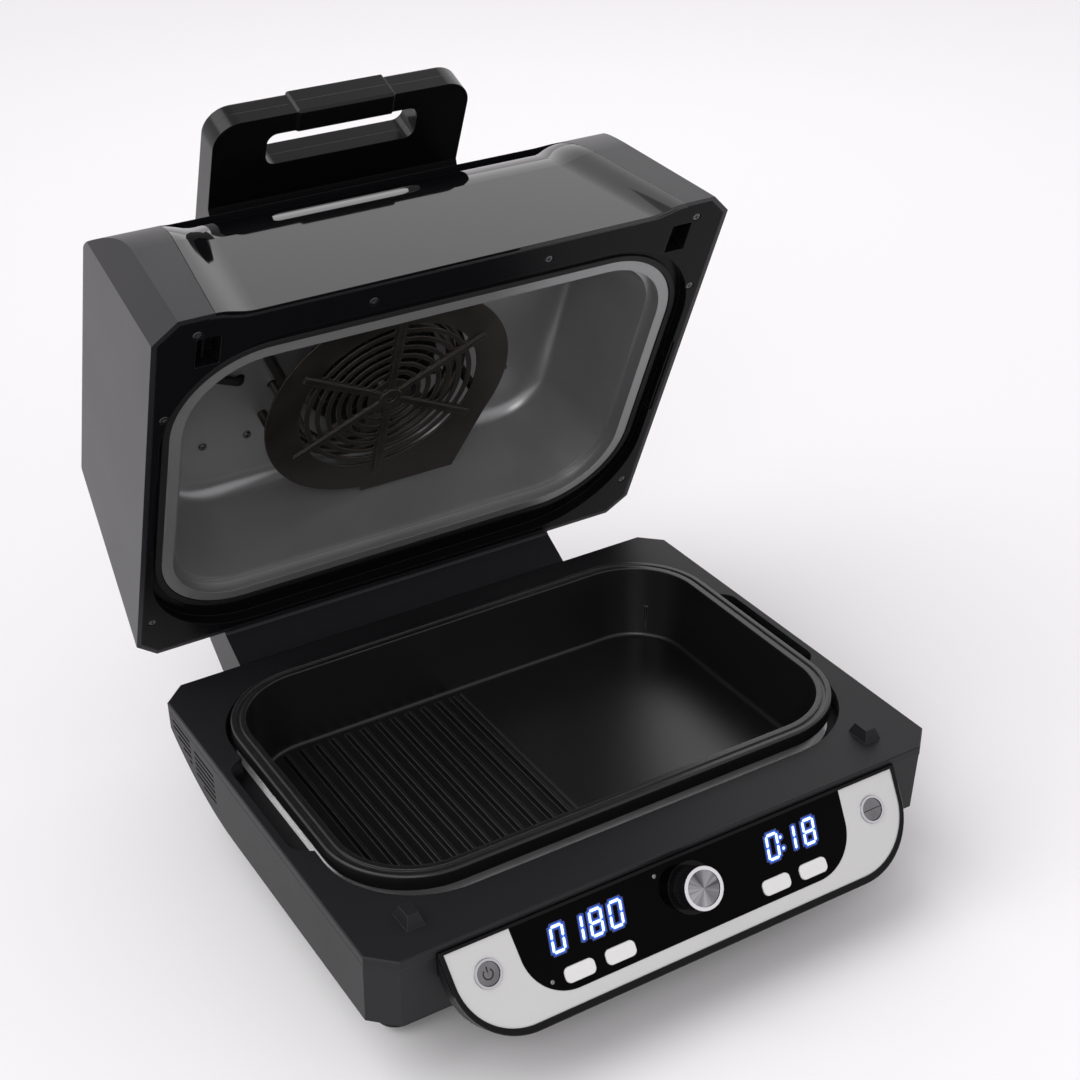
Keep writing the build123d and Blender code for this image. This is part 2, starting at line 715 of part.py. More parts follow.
def make_round_button(side):
    """A dished round button with a retaining flange behind the plate."""
    radius = RING_RADIUS - RING_WIDTH - CLEARANCE
    cap = on_panel(Circle(radius), side * ROUND_BUTTON_X, ROUND_BUTTON_DOWN, -BUTTON_DEPTH, 0)
    dish = PANEL * Pos(side * ROUND_BUTTON_X, -ROUND_BUTTON_DOWN, 6 * radius - 0.9) * Sphere(6 * radius)
    flange = Circle(RING_RADIUS + BUTTON_FLANGE)
    cap += on_panel(flange, side * ROUND_BUTTON_X, ROUND_BUTTON_DOWN, -BUTTON_DEPTH, -PANEL_STACK - CLEARANCE)
    return cap - dish


def make_pill_button(place):
    """A small button that stands through the glass, with its retaining flange."""
    cap = on_panel(pill_face(), place, PILL_DOWN, -BUTTON_DEPTH, BUTTON_PROUD)
    cap = chamfer(edges_at(cap, BUTTON_PROUD), PILL_CHAMFER)
    flange = pill_face(BUTTON_FLANGE)
    return cap + on_panel(flange, place, PILL_DOWN, -BUTTON_DEPTH, -PANEL_STACK - CLEARANCE)


def make_knob_collar():
    """The black ring on the glass round the foot of the knob."""
    ring = Circle(COLLAR_RADIUS) - Circle(KNOB_SHAFT_RADIUS + 2)
    return on_panel(ring, 0, KNOB_DOWN, -GLASS_SUNK, COLLAR_TOP)


def make_selector_knob():
    """The turning knob: a rim, a sunken face and a blind bore for the shaft."""
    low = COLLAR_TOP + KNOB_GAP
    knob = on_panel(Circle(KNOB_RADIUS), 0, KNOB_DOWN, low, KNOB_TOP)
    knob -= on_panel(Circle(KNOB_RADIUS - KNOB_RIM), 0, KNOB_DOWN, KNOB_TOP - KNOB_SUNK, KNOB_TOP + 1)
    knob -= on_panel(Circle(KNOB_SHAFT_RADIUS + RUNNING_FIT), 0, KNOB_DOWN, 0, KNOB_TOP / 2 + CLEARANCE)
    reach = KNOB_RADIUS + CLEARANCE
    for index in range(KNOB_FLUTES):
        turn = 2 * math.pi * index / KNOB_FLUTES
        across = reach * math.cos(turn)
        down = KNOB_DOWN + reach * math.sin(turn)
        knob -= on_panel(Circle(KNOB_FLUTE_RADIUS), across, down, low - 1, KNOB_TOP - KNOB_RIM)
    return knob


def make_encoder():
    """The turn sensor behind the glass, with the bush and shaft that carry the knob."""
    low = -BOARD_LEVEL
    body = on_panel(Rectangle(ENCODER_SIZE, ENCODER_SIZE), 0, KNOB_DOWN, low, -PANEL_STACK - CLEARANCE)
    bush = on_panel(Circle(KNOB_SHAFT_RADIUS + 1.5), 0, KNOB_DOWN, -BOARD_LEVEL / 2, COLLAR_TOP)
    shaft = on_panel(Circle(KNOB_SHAFT_RADIUS), 0, KNOB_DOWN, 0, KNOB_TOP / 2)
    return body + bush + shaft


def make_control_board():
    """The panel's circuit board, with a switch behind each button."""
    low = -BOARD_LEVEL - BOARD_THICKNESS
    face = Pos(0, -22) * Rectangle(2 * NECK_HALF, 28) + Pos(0, -32) * Rectangle(2 * PILL_X[0] + 50, 48)
    board = on_panel(face, 0, 0, low, -BOARD_LEVEL)
    for side in (-1, 1):
        reach = -BUTTON_DEPTH - ROUND_TRAVEL - SWITCH_GAP
        across = side * ROUND_BUTTON_X
        board += on_panel(Circle(SWITCH_RADIUS), across, ROUND_BUTTON_DOWN, -BOARD_LEVEL, reach)
    for x in pill_places():
        reach = -BUTTON_DEPTH - PILL_TRAVEL - SWITCH_GAP
        board += on_panel(Circle(SWITCH_RADIUS), x, PILL_DOWN, -BOARD_LEVEL, reach)
    for x in (-NECK_HALF + 4, NECK_HALF - 4):
        board += on_panel(Circle(2.5), x, 14, -HOUSING_DEPTH + HOUSING_WALL, low)
    return board


def make_display_modules():
    """The two digit blocks between the board and the glass."""
    blocks = []
    for x in DISPLAY_X:
        face = Rectangle(*DISPLAY_SIZE)
        blocks.append(on_panel(face, x, DISPLAY_DOWN, -BOARD_LEVEL, -PANEL_STACK - CLEARANCE))
    return blocks


def neck_profile(inset):
    """The side outline of the housing's neck, from the tray back to the base."""
    drop = math.cos(math.radians(PANEL_TILT))
    lean = math.sin(math.radians(PANEL_TILT))
    back_y = PANEL_Y + (HOUSING_DEPTH - HOUSING_WALL / 2) * drop
    back_z = PANEL_Z - (HOUSING_DEPTH - HOUSING_WALL / 2) * lean
    top_down = NECK_TOP_DOWN + inset
    low_down = NECK_LOW_DOWN - inset
    wall_y = -BODY_DEPTH / 2 + 2 * WALL
    top = (back_y - top_down * lean, back_z - top_down * drop)
    low = (back_y - low_down * lean, back_z - low_down * drop)
    return make_face(Polyline(top, low, (wall_y, low[1]), (wall_y, top[1]), close=True))


def make_panel_housing():
    """The black tray behind the panel and the neck that joins it to the base."""
    tray = on_panel(panel_outline(0.4), 0, 0, -HOUSING_DEPTH, -PANEL_STACK)
    tray -= on_panel(panel_outline(HOUSING_WALL), 0, 0, -HOUSING_DEPTH + HOUSING_WALL, 1)
    neck = side_prism(neck_profile(0.0), -NECK_HALF, NECK_HALF)
    hollow = side_prism(neck_profile(HOUSING_WALL), -NECK_HALF + HOUSING_WALL, NECK_HALF - HOUSING_WALL)
    window = on_panel(Pos(0, -34) * Rectangle(NECK_HALF, 24), 0, 0, -2 * HOUSING_DEPTH, -HOUSING_DEPTH / 2)
    wide = Rectangle(4 * NECK_HALF, 8 * PANEL_DROP)
    front_only = on_panel(wide, 0, 0, -HOUSING_DEPTH + HOUSING_WALL, HOUSING_DEPTH)
    return tray + (neck - hollow - front_only) - window


# Base internals and hinge mounts

def make_power_board():
    """The supply board on posts in the tub."""
    floor = FOOT_TOP + TUB_WALL
    level = floor + BOARD_RAISE
    x, y = POWER_BOARD_AT
    width, depth = POWER_BOARD_SIZE
    board = Pos(x, y, level) * Box(width, depth, BOARD_THICKNESS)
    post = BOARD_RAISE - BOARD_THICKNESS / 2 + CLEARANCE
    for across in (-1, 1):
        for along in (-1, 1):
            place = (x + across * (width / 2 - BOARD_EDGE), y + along * (depth / 2 - BOARD_EDGE))
            board += Pos(*place, floor + post / 2) * Cylinder(SWITCH_RADIUS, post)
    for dx, dy, long, deep, tall in BOARD_BLOCKS:
        board += Pos(x + dx, y + dy, level + tall / 2) * Box(long, deep, tall)
    radius, tall = CAPACITOR
    board += Pos(x + width / 5, y - depth / 6, level + tall / 2) * Cylinder(radius, tall)
    return board


def make_cord_gland():
    """The bushing at the rear of the tub where the supply lead goes in."""
    body = Rot(90, 0, 0) * Cylinder(GLAND_RADIUS, 2 * TUB_WALL + 14)
    body += Pos(0, GLAND_FLANGE / 2, 0) * Rot(90, 0, 0) * Cylinder(GLAND_RADIUS + 2, GLAND_FLANGE)
    inner = GLAND_FLANGE - TUB_WALL / 2
    body += Pos(0, -TUB_WALL - inner / 2, 0) * Rot(90, 0, 0) * Cylinder(GLAND_RADIUS + 1.5, inner)
    body -= Rot(90, 0, 0) * Cylinder(GLAND_RADIUS / 2, 60)
    place = Pos(GLAND_X, TUB_BACK, GLAND_Z)
    wall = prism(tub_outline() - tub_outline(-TUB_WALL), FOOT_TOP, -DECK_LIP)
    hole = place * Rot(90, 0, 0) * Cylinder(GLAND_RADIUS, 6 * TUB_WALL)
    return place * body - (wall - hole)


def lug_face():
    """The side outline of a hinge lug, from the rear of the base to a round end."""
    low = HINGE_Z - 2 * BARREL_RADIUS
    near = TUB_BACK - 2 * TUB_WALL
    face = make_face(Polyline((near, -DECK_LIP), (near, low), (TUB_BACK + 6, low),
                              (HINGE_Y, HINGE_Z - BARREL_RADIUS), (HINGE_Y, HINGE_Z + BARREL_RADIUS),
                              (near, HINGE_Z + BARREL_RADIUS + 8), close=True))
    return face + Pos(HINGE_Y, HINGE_Z) * Circle(BARREL_RADIUS)


def make_hinge_brackets():
    """The two lugs that carry the hinge pins, each on a plate against the tub's rear wall."""
    brackets = []
    low = ARM_HALF + WASHER_THICKNESS + 2 * LUG_GAP
    for side in (-1, 1):
        inner = side * low
        outer = side * (low + LUG_THICKNESS)
        lug = side_prism(lug_face(), min(inner, outer), max(inner, outer))
        plate = Pos(side * (low + LUG_THICKNESS), TUB_BACK + 2, HINGE_Z - 16) * Box(3 * LUG_THICKNESS, 4, 28)
        lug += plate
        lug -= across_axis(PIN_RADIUS, -BODY_WIDTH, BODY_WIDTH)
        lug -= side_prism(base_profile(0.0), -BODY_WIDTH, BODY_WIDTH)
        lug -= prism(tub_outline(), -DECK_HEIGHT, 0)
        brackets.append(lug)
    return brackets


def make_hinge_pins():
    """The two pins, fixed in the lugs and running in the arm's bushes."""
    low = ARM_HALF - BUSH_LENGTH + 1
    high = ARM_HALF + WASHER_THICKNESS + 2 * LUG_GAP + LUG_THICKNESS
    pin = across_axis(PIN_RADIUS, low, high)
    pin += across_axis(PIN_RADIUS + 2.5, high, high + 2.5)
    return mirrored(pin)


def make_friction_washers():
    """The washers that hold the lid wherever it is left."""
    low = ARM_HALF + LUG_GAP
    washer = across_axis(2 * PIN_RADIUS + 2, low, low + WASHER_THICKNESS)
    return mirrored(washer - across_axis(PIN_RADIUS, 0, BODY_WIDTH))


def make_lid_switch():
    """The small switch under the deck beside the right locating peg."""
    body = Pos(PEG_X + 2, PEG_Y + 4, -2 * DECK_LIP) * Box(20, 8, 12)
    return body + Pos(PEG_X + 2, PEG_Y + 4, -DECK_LIP) * Box(4, 4, 2 * (DECK_LIP - DECK_PLATE) - CLEARANCE)


# Grill pan

def pan_face(grow):
    """The pan's rim outline drawn in or out."""
    return rounded(PAN_HALF, PAN_FRONT, PAN_BACK, PAN_RADIUS, grow)


def pan_floor_face(grow):
    """The outline of the pan's floor, inside its walls."""
    inset = PAN_RIM_WIDTH + PAN_DRAFT
    radius = PAN_FLOOR_RADIUS + inset
    return rounded(PAN_HALF, PAN_FRONT, PAN_BACK, radius, grow - inset)


def pan_well(grow, low, high):
    """The pan's tapering well between two heights, with its floor edge rounded."""
    well = loft([Pos(0, 0, low) * pan_floor_face(grow), Pos(0, 0, high) * pan_face(grow - PAN_RIM_WIDTH)])
    return fillet(well.edges().group_by(Axis.Z)[0], 3.0 + max(grow, 0.0))


def rib_ends(x):
    """Front and rear ends of a grill rib, kept off the floor's rounded corners."""
    inset = PAN_RIM_WIDTH + PAN_DRAFT + PAN_FLOOR_RADIUS
    over = max(abs(x) + GRILL_RIB_WIDTH / 2 - (PAN_HALF - inset), 0.0)
    reach = math.sqrt((PAN_FLOOR_RADIUS - GRILL_RIB_GAP) ** 2 - over ** 2)
    return max(PAN_FRONT + inset - reach, GRILL_RIB_FRONT), min(PAN_BACK - inset + reach, GRILL_RIB_BACK)


def grill_rib(x):
    """One grill rib: a bar on the pan's floor that narrows towards its crown."""
    front, back = rib_ends(x)
    length = back - front
    foot = Rectangle(GRILL_RIB_WIDTH, length)
    crown = Rectangle(GRILL_RIB_WIDTH * 0.45, length - 2.5 * GRILL_RIB_HEIGHT)
    rib = loft([Pos(0, 0, -0.5) * foot, Pos(0, 0, GRILL_RIB_HEIGHT) * crown], ruled=True)
    return Pos(x, (front + back) / 2, PAN_FLOOR) * rib


def make_grill_pan():
    """The pan: a double-ridged rim, a tapering well, ribs on the left half of its floor."""
    rim = prism(pan_face(0), PAN_SKIRT_BOTTOM, PAN_RIM_TOP)
    rim = fillet(rim.edges().group_by(Axis.Z)[-1], 1.6)
    seat = BOWL_TOP + PAN_REST
    rim -= prism(pan_face(-PAN_SKIRT_WALL), PAN_SKIRT_BOTTOM - 1, seat)
    mid = -PAN_RIM_WIDTH / 2
    groove = prism(pan_face(mid + PAN_GROOVE_WIDTH / 2), PAN_RIM_TOP - PAN_GROOVE_DEPTH, PAN_RIM_TOP + 1)
    rim -= groove - prism(pan_face(mid - PAN_GROOVE_WIDTH / 2), 0, 2 * PAN_RIM_TOP)
    body = pan_well(PAN_WALL, PAN_FLOOR - PAN_FLOOR_THICKNESS, seat)
    pan = rim + body - above(pan_well(0.0, PAN_FLOOR, PAN_RIM_TOP + 0.01), PAN_FLOOR)
    for index in range(GRILL_RIB_COUNT):
        pan += grill_rib(-GRILL_RIB_PITCH * (index + 0.6))
    length = GRILL_RIB_BACK - GRILL_RIB_FRONT
    divider = Pos(0.6, (GRILL_RIB_FRONT + GRILL_RIB_BACK) / 2, PAN_FLOOR) * Box(1.2, length, 1.0)
    pan += divider
    level = Pos(*LEVEL_RIB_AT, (PAN_FLOOR + LEVEL_RIB_TOP) / 2) * Box(
        LEVEL_RIB_SIZE, 3 * LEVEL_RIB_SIZE, LEVEL_RIB_TOP - PAN_FLOOR)
    return pan + (level & body)


# Lid shell and its glossy panel

def lid_section(inset, z):
    """The lid's cut-cornered outline at a height, drawn in by an inset."""
    rise = z - LID_RIM
    half = BODY_WIDTH / 2 - rise * math.tan(math.radians(LID_SIDE_LEAN)) - inset
    front = LID_FRONT + rise * math.tan(math.radians(LID_FRONT_LEAN)) + inset
    back = LID_BACK - rise * math.tan(math.radians(LID_BACK_LEAN)) - inset
    return Pos(0, 0, z) * octagon(half, front, back, LID_CUT - inset * (2 - math.sqrt(2)))


def lid_edges(inset, z):
    """Half width, front and back of the lid's outline at a height."""
    rise = z - LID_RIM
    half = BODY_WIDTH / 2 - rise * math.tan(math.radians(LID_SIDE_LEAN)) - inset
    front = LID_FRONT + rise * math.tan(math.radians(LID_FRONT_LEAN)) + inset
    back = LID_BACK - rise * math.tan(math.radians(LID_BACK_LEAN)) - inset
    return half, front, back


def lid_block(inset, low=LID_RIM):
    """The lid's outside form drawn in by an inset, from a lower level to its rounded top."""
    top = LID_TOP - inset
    block = loft([lid_section(inset, low), lid_section(inset, top)], ruled=True)
    half_low, front_low, back_low = lid_edges(inset, low)
    half_top, front_top, back_top = lid_edges(inset, top)
    corners = [(front_low, low), (back_low, low), (back_top, top), (front_top, top)]
    side = make_face(Polyline(*corners, close=True))
    upper = side.vertices().group_by(Axis.Y)[-1].sort_by(Axis.X)
    side = fillet(upper[0], LID_FRONT_ROUND - inset)
    upper = side.vertices().group_by(Axis.Y)[-1].sort_by(Axis.X)
    side = fillet(upper[-1], LID_BACK_ROUND - inset)
    block &= side_prism(side, -BODY_WIDTH, BODY_WIDTH)
    corners = [(-half_low, low), (half_low, low), (half_top, top), (-half_top, top)]
    front = make_face(Polyline(*corners, close=True))
    front = fillet(front.vertices().group_by(Axis.Y)[-1], LID_SIDE_ROUND - inset)
    return block & front_prism(front, BODY_WIDTH)


def gloss_half(z):
    """Half width of the glossy panel at a height."""
    return GLOSS_HALF - (z - LID_RIM) * GLOSS_TAPER


def dish_face(half, shallow, deep):
    """The dished strip between two depths: flat in the middle, curling up at both sides."""
    edges = []
    flat = half - GLOSS_FLANK
    level = ((1, 0), (1, 0))
    for depth in (shallow, deep):
        sunk = depth + GLOSS_DISH
        edges.append(Spline((-half, depth), (-flat, sunk), tangents=level))
        edges.append(Line((-flat, sunk), (flat, sunk)))
        edges.append(Spline((flat, sunk), (half, depth), tangents=level))
    edges.append(Line((-half, shallow), (-half, deep)))
    edges.append(Line((half, shallow), (half, deep)))
    return make_face(edges)


def front_plane(along):
    """The plane square to the lid's front face, at a distance along it from the rim."""
    lean = math.radians(LID_FRONT_LEAN)
    origin = (0, LID_FRONT + along * math.sin(lean), LID_RIM + along * math.cos(lean))
    return Plane(origin=origin, x_dir=(1, 0, 0), z_dir=(0, math.sin(lean), math.cos(lean)))


def dish(grow, shallow, deep):
    """The dished layer that follows the lid's front face and the start of its rounding."""
    lean = math.radians(LID_FRONT_LEAN)
    centre_z = LID_TOP - LID_FRONT_ROUND
    straight = (centre_z + LID_FRONT_ROUND * math.sin(lean) - LID_RIM) / math.cos(lean)
    centre = front_plane(straight).origin + Vector(0, math.cos(lean), -math.sin(lean)) * LID_FRONT_ROUND
    start = -GLOSS_FLANK
    faces = []
    for along in (start, straight):
        half = gloss_half(LID_RIM + along * math.cos(lean)) + grow
        faces.append(front_plane(along) * dish_face(half, shallow, deep))
    lower = loft(faces, ruled=True)
    upper = revolve(faces[1], axis=Axis(centre, (-1, 0, 0)), revolution_arc=GLOSS_SWEEP)
    return lower + upper


def gloss_region(grow):
    """The front view outline of the glossy panel, its top corners rounded."""
    low = LID_RIM - GLOSS_FLANK
    high = GLOSS_TOP + grow
    face = make_face(Polyline((-gloss_half(low) - grow, low), (gloss_half(low) + grow, low),
                              (gloss_half(high) + grow, high), (-gloss_half(high) - grow, high), close=True))
    face = fillet(face.vertices().group_by(Axis.Y)[-1], GLOSS_CORNER + grow)
    return front_prism(face, BODY_WIDTH)


def make_lid_shell():
    """The matte outer shell, sunk and floored where the glossy panel lies."""
    depth = GLOSS_DISH + GLOSS_THICKNESS + GLOSS_FLOOR + CLEARANCE
    region = gloss_region(CLEARANCE)
    wide = gloss_region(WALL)
    shell = lid_block(0.0) - lid_block(LID_WALL, LID_RIM - WALL)
    border = (lid_block(0.0) - lid_block(depth, LID_RIM - WALL)) & (wide - region)
    floor = dish(WALL, GLOSS_THICKNESS + CLEARANCE / 3, GLOSS_THICKNESS + GLOSS_FLOOR) & wide
    pocket = dish(CLEARANCE, -2 * GLOSS_DISH, GLOSS_THICKNESS + CLEARANCE / 3) & region
    clear = LID_RIM + FRAME_HEIGHT + CLEARANCE
    shell = shell - pocket + above(border, clear) + above(floor, LID_RIM) - pocket
    shell -= handle_bolt_holes(SCREW_SHANK)
    return shell


def make_gloss_panel():
    """The glossy dished panel on the front of the lid."""
    return above(dish(0.0, 0.0, GLOSS_THICKNESS) & gloss_region(0.0), LID_RIM)


# Lid frame, seal, liner

def sunk_face(grow):
    """The outline of the sunken ring round the liner."""
    return rounded(SUNK_HALF, SUNK_FRONT, SUNK_BACK, SUNK_RADIUS, grow)


def flange_face(grow):
    """The outline of the liner's flange."""
    return rounded(FLANGE_HALF, FLANGE_FRONT, FLANGE_BACK, FLANGE_RADIUS, grow)


def frame_block(inset, low, high):
    """The room inside the lid shell between two levels, drawn in by an inset."""
    fit = LID_WALL + CLEARANCE
    block = below(above(lid_block(fit + inset, low - 1), low), high)
    behind = GLOSS_THICKNESS + GLOSS_FLOOR + CLEARANCE + inset
    return block - dish(WALL + CLEARANCE + inset, behind - 8 * GLOSS_DISH, behind)


def keeper_room(side, grow, low, high):
    """The pocket beside the sunken ring that holds a latch keeper."""
    length = KEEPER_BACK - KEEPER_FRONT + 2 * grow
    outer = SUNK_HALF + KEEPER_DEPTH + grow
    width = 2 * KEEPER_DEPTH
    place = Pos(side * (outer - width / 2), (KEEPER_FRONT + KEEPER_BACK) / 2, (low + high) / 2)
    return place * Box(width, length, high - low)


def make_lid_frame():
    """The black frame that closes the lid from below and carries the liner."""
    top = LID_RIM + FRAME_HEIGHT
    level = LID_RIM + SUNK_DEPTH
    frame = frame_block(0.0, LID_RIM, top)
    hollow = frame_block(FRAME_WALL, LID_RIM + FRAME_PLATE, top + 1)
    hollow -= prism(sunk_face(FRAME_WALL), 0, level + FRAME_WALL)
    frame -= hollow
    for side in (-1, 1):
        grown = 2 * SOCKET_WALL
        outer = Box(SOCKET_WIDTH + grown, SOCKET_LENGTH + grown, SOCKET_DEPTH + SOCKET_WALL)
        frame += Pos(side * SOCKET_X, SOCKET_Y, LID_RIM + (SOCKET_DEPTH + SOCKET_WALL) / 2) * outer
        frame += keeper_room(side, FRAME_WALL, LID_RIM, level + FRAME_WALL) & frame_block(0.0, LID_RIM, top)
    for x, y in FRAME_SCREWS:
        boss = prism(Pos(x, y) * Circle(SCREW_HEAD + 2), LID_RIM + 1, top)
        frame += boss & frame_block(0.0, LID_RIM, top)
    frame -= prism(sunk_face(0.0), 0, level)
    frame -= prism(flange_face(-FLANGE_WIDTH + LINER_SHEET), 0, 4 * top)
    for side in (-1, 1):
        room = Box(SOCKET_WIDTH, SOCKET_LENGTH, 2 * SOCKET_DEPTH)
        frame -= Pos(side * SOCKET_X, SOCKET_Y, LID_RIM) * room
        rib = Box(1.4, SOCKET_LENGTH, SOCKET_DEPTH - PEG_HEIGHT)
        frame += Pos(side * SOCKET_X, SOCKET_Y, LID_RIM + (SOCKET_DEPTH + PEG_HEIGHT) / 2) * rib
        frame -= keeper_room(side, 0.0, LID_RIM - 1, level)
    for x, y in FRAME_SCREWS:
        frame -= prism(Pos(x, y) * Circle(SCREW_HEAD + CLEARANCE), 0, LID_RIM + SCREW_HEAD_HEIGHT + CLEARANCE)
        frame -= prism(Pos(x, y) * Circle(SCREW_SHANK), 0, LID_RIM + FRAME_HEIGHT - 1)
    return frame


def screw(x, y, seat, length):
    """A pan-head screw pointing up, its head hanging below a seat level."""
    head = prism(Circle(SCREW_HEAD), seat - SCREW_HEAD_HEIGHT, seat)
    head = fillet(head.edges().group_by(Axis.Z)[0], SCREW_HEAD_HEIGHT / 2)
    head -= Pos(0, 0, seat - SCREW_HEAD_HEIGHT) * Box(SCREW_HEAD, 0.8, SCREW_HEAD_HEIGHT)
    head -= Pos(0, 0, seat - SCREW_HEAD_HEIGHT) * Box(0.8, SCREW_HEAD, SCREW_HEAD_HEIGHT)
    return Pos(x, y, 0) * (head + prism(Circle(SCREW_SHANK), seat - 0.2, seat + length))


def make_frame_screws():
    """The screws that hold the frame, sunk in its face."""
    seat = LID_RIM + SCREW_HEAD_HEIGHT + CLEARANCE
    return [screw(x, y, seat, FRAME_HEIGHT - SCREW_HEAD_HEIGHT - 2) for x, y in FRAME_SCREWS]


def make_latch_keepers():
    """The slotted keepers in the sides of the sunken ring."""
    keepers = []
    length = KEEPER_BACK - KEEPER_FRONT - 2 * CLEARANCE
    for side in (-1, 1):
        middle = Pos(side * (SUNK_HALF + KEEPER_DEPTH - 1.0), (KEEPER_FRONT + KEEPER_BACK) / 2,
                     LID_RIM + SUNK_DEPTH / 2 + 0.5)
        plate = Box(2.0, length, SUNK_DEPTH - 1.0)
        plate -= Pos(0, length * 0.2, 0) * Box(4, length * 0.5, SUNK_DEPTH - 4)
        plate -= Pos(0, -length * 0.35, 0) * Box(4, length * 0.2, SUNK_DEPTH - 4)
        keepers.append(middle * plate)
    return keepers


def make_lid_seal():
    """The soft ring round the liner's flange, against the floor of the sunken ring."""
    level = LID_RIM + SUNK_DEPTH
    seal = prism(flange_face(SEAL_INNER + SEAL_WIDTH), level - SEAL_HEIGHT, level)
    seal = fillet(seal.edges().group_by(Axis.Z)[0], SEAL_ROUND)
    return seal - prism(flange_face(SEAL_INNER), 0, 2 * level)


def liner_room(inset):
    """The liner's well above its step, drawn in by the sheet's thickness."""
    level = LID_RIM + SUNK_DEPTH + STEP_RISE
    half = FLANGE_HALF - FLANGE_WIDTH - STEP_WIDTH
    front = FLANGE_FRONT + FLANGE_WIDTH + STEP_WIDTH
    back = FLANGE_BACK - FLANGE_WIDTH - STEP_WIDTH
    radius = FLANGE_RADIUS - FLANGE_WIDTH - STEP_WIDTH
    low = Pos(0, 0, level) * rounded(half, front, back, radius, -inset)
    high = Pos(0, 0, CEILING_LEVEL - inset) * rounded(CEILING_HALF, CEILING_FRONT, CEILING_BACK,
                                                      CEILING_RADIUS, -inset)
    room = loft([low, high])
    return fillet(room.edges().group_by(Axis.Z)[-1], CEILING_EDGE - inset)


def make_lid_liner():
    """The sheet-metal liner: flange, step, tapering walls and a rounded ceiling."""
    level = LID_RIM + SUNK_DEPTH
    ledge = level + STEP_RISE
    liner = prism(flange_face(0.0), level - LINER_SHEET, level)
    liner += prism(flange_face(-FLANGE_WIDTH + LINER_SHEET), level - LINER_SHEET, ledge)
    liner -= prism(flange_face(-FLANGE_WIDTH), 0, ledge - LINER_SHEET)
    liner += liner_room(0.0)
    liner -= liner_room(LINER_SHEET)
    liner -= prism(flange_face(-FLANGE_WIDTH - STEP_WIDTH - LINER_SHEET), 0, ledge + LINER_SHEET)
    liner -= Pos(0, FAN_Y, CEILING_LEVEL) * Cylinder(4 * FAN_SHAFT_RADIUS, 6)
    for x, y in LINER_SCREWS:
        liner -= prism(Pos(x, y) * Circle(SCREW_SHANK + 0.2), CEILING_LEVEL - 3, CEILING_LEVEL + 3)
    for x, y in coil_ends() + [(LEAD_END[0], LEAD_END[1])]:
        liner -= prism(Pos(x, y) * Circle(COIL_TUBE + 1), CEILING_LEVEL - 3, CEILING_LEVEL + 3)
    return liner


def make_liner_screws():
    """The screws through the liner's ceiling, each with a nut plate above."""
    screws = []
    for x, y in LINER_SCREWS:
        one = screw(x, y, CEILING_LEVEL - LINER_SHEET, 7)
        one += prism(Pos(x, y) * Circle(2 * SCREW_HEAD), CEILING_LEVEL, CEILING_LEVEL + 1.5)
        screws.append(one)
    return screws


# Guard, upper element and fan

def guard_outline():
    """The round guard with its squared corner, about the fan's axis."""
    corner_x, corner_y = GUARD_CORNER
    square = make_face(Polyline((GUARD_TAB, 0), (GUARD_TAB, corner_y), (corner_x, corner_y),
                                (GUARD_RADIUS * 0.985, GUARD_RADIUS * 0.17), (0, 0), close=True))
    return Circle(GUARD_RADIUS) + square


def guard_slots():
    """Rings of arc slots, broken at every spoke."""
    slots = []
    sector = 360.0 / SPOKE_COUNT
    for radius in GUARD_SLOT_RINGS:
        margin = math.degrees(math.asin((SPOKE_WIDTH + GUARD_SLOT_WIDTH) / 2 / radius)) + 2.0
        for index in range(SPOKE_COUNT):
            start = SPOKE_TURN + index * sector + margin
            arc = CenterArc((0, 0), radius, start, sector - 2 * margin)
            slots.append(SlotArc(arc=arc, height=GUARD_SLOT_WIDTH))
    return slots


def make_heater_guard():
    """The slotted guard plate with embossed spokes, a hub ring and its posts."""
    low = GUARD_LEVEL - GUARD_SHEET / 2
    face = guard_outline() - Circle(HUB_RADIUS * 0.45)
    for slot in guard_slots():
        face -= slot
    guard = prism(face, low, low + GUARD_SHEET)
    for index in range(SPOKE_COUNT):
        turn = SPOKE_TURN + index * 360.0 / SPOKE_COUNT
        length = GUARD_RADIUS - 3 * SPOKE_WIDTH
        bar = Pos(length / 2, 0, low - SPOKE_HEIGHT / 2 + 0.2) * Box(length, SPOKE_WIDTH, SPOKE_HEIGHT)
        guard += Rot(0, 0, turn) * bar
    guard += tube(HUB_RADIUS, HUB_RADIUS * 0.45, low - SPOKE_HEIGHT - 0.6, low + 0.2)
    guard -= prism(Circle(HUB_RADIUS * 0.45), low - 10, low + 0.1)
    for angle in POST_ANGLES:
        x = POST_RING * math.cos(math.radians(angle))
        y = POST_RING * math.sin(math.radians(angle))
        guard += prism(Pos(x, y) * Circle(POST_RADIUS), low, CEILING_LEVEL - LINER_SHEET)
    return Pos(0, FAN_Y, 0) * guard


def coil_radii():
    """The radius of each half turn of the upper element."""
    return [COIL_INNER + index * COIL_GROWTH for index in range(COIL_HALF_TURNS)]


def coil_path():
    """Half turns of growing radius that meet smoothly on the x axis of the fan."""
    edges = []
    start = -COIL_INNER
    sense = 1
    for radius in coil_radii():
        end = start + sense * 2 * radius
        middle = (start + end) / 2
        edges.append(ThreePointArc((start, 0), (middle, -sense * radius), (end, 0)))
        start = end
        sense = -sense
    return Wire(edges)


def coil_ends():
    """The plan places of the element's two ends."""
    path = coil_path()
    return [((path @ place).X, (path @ place).Y + FAN_Y) for place in (0, 1)]


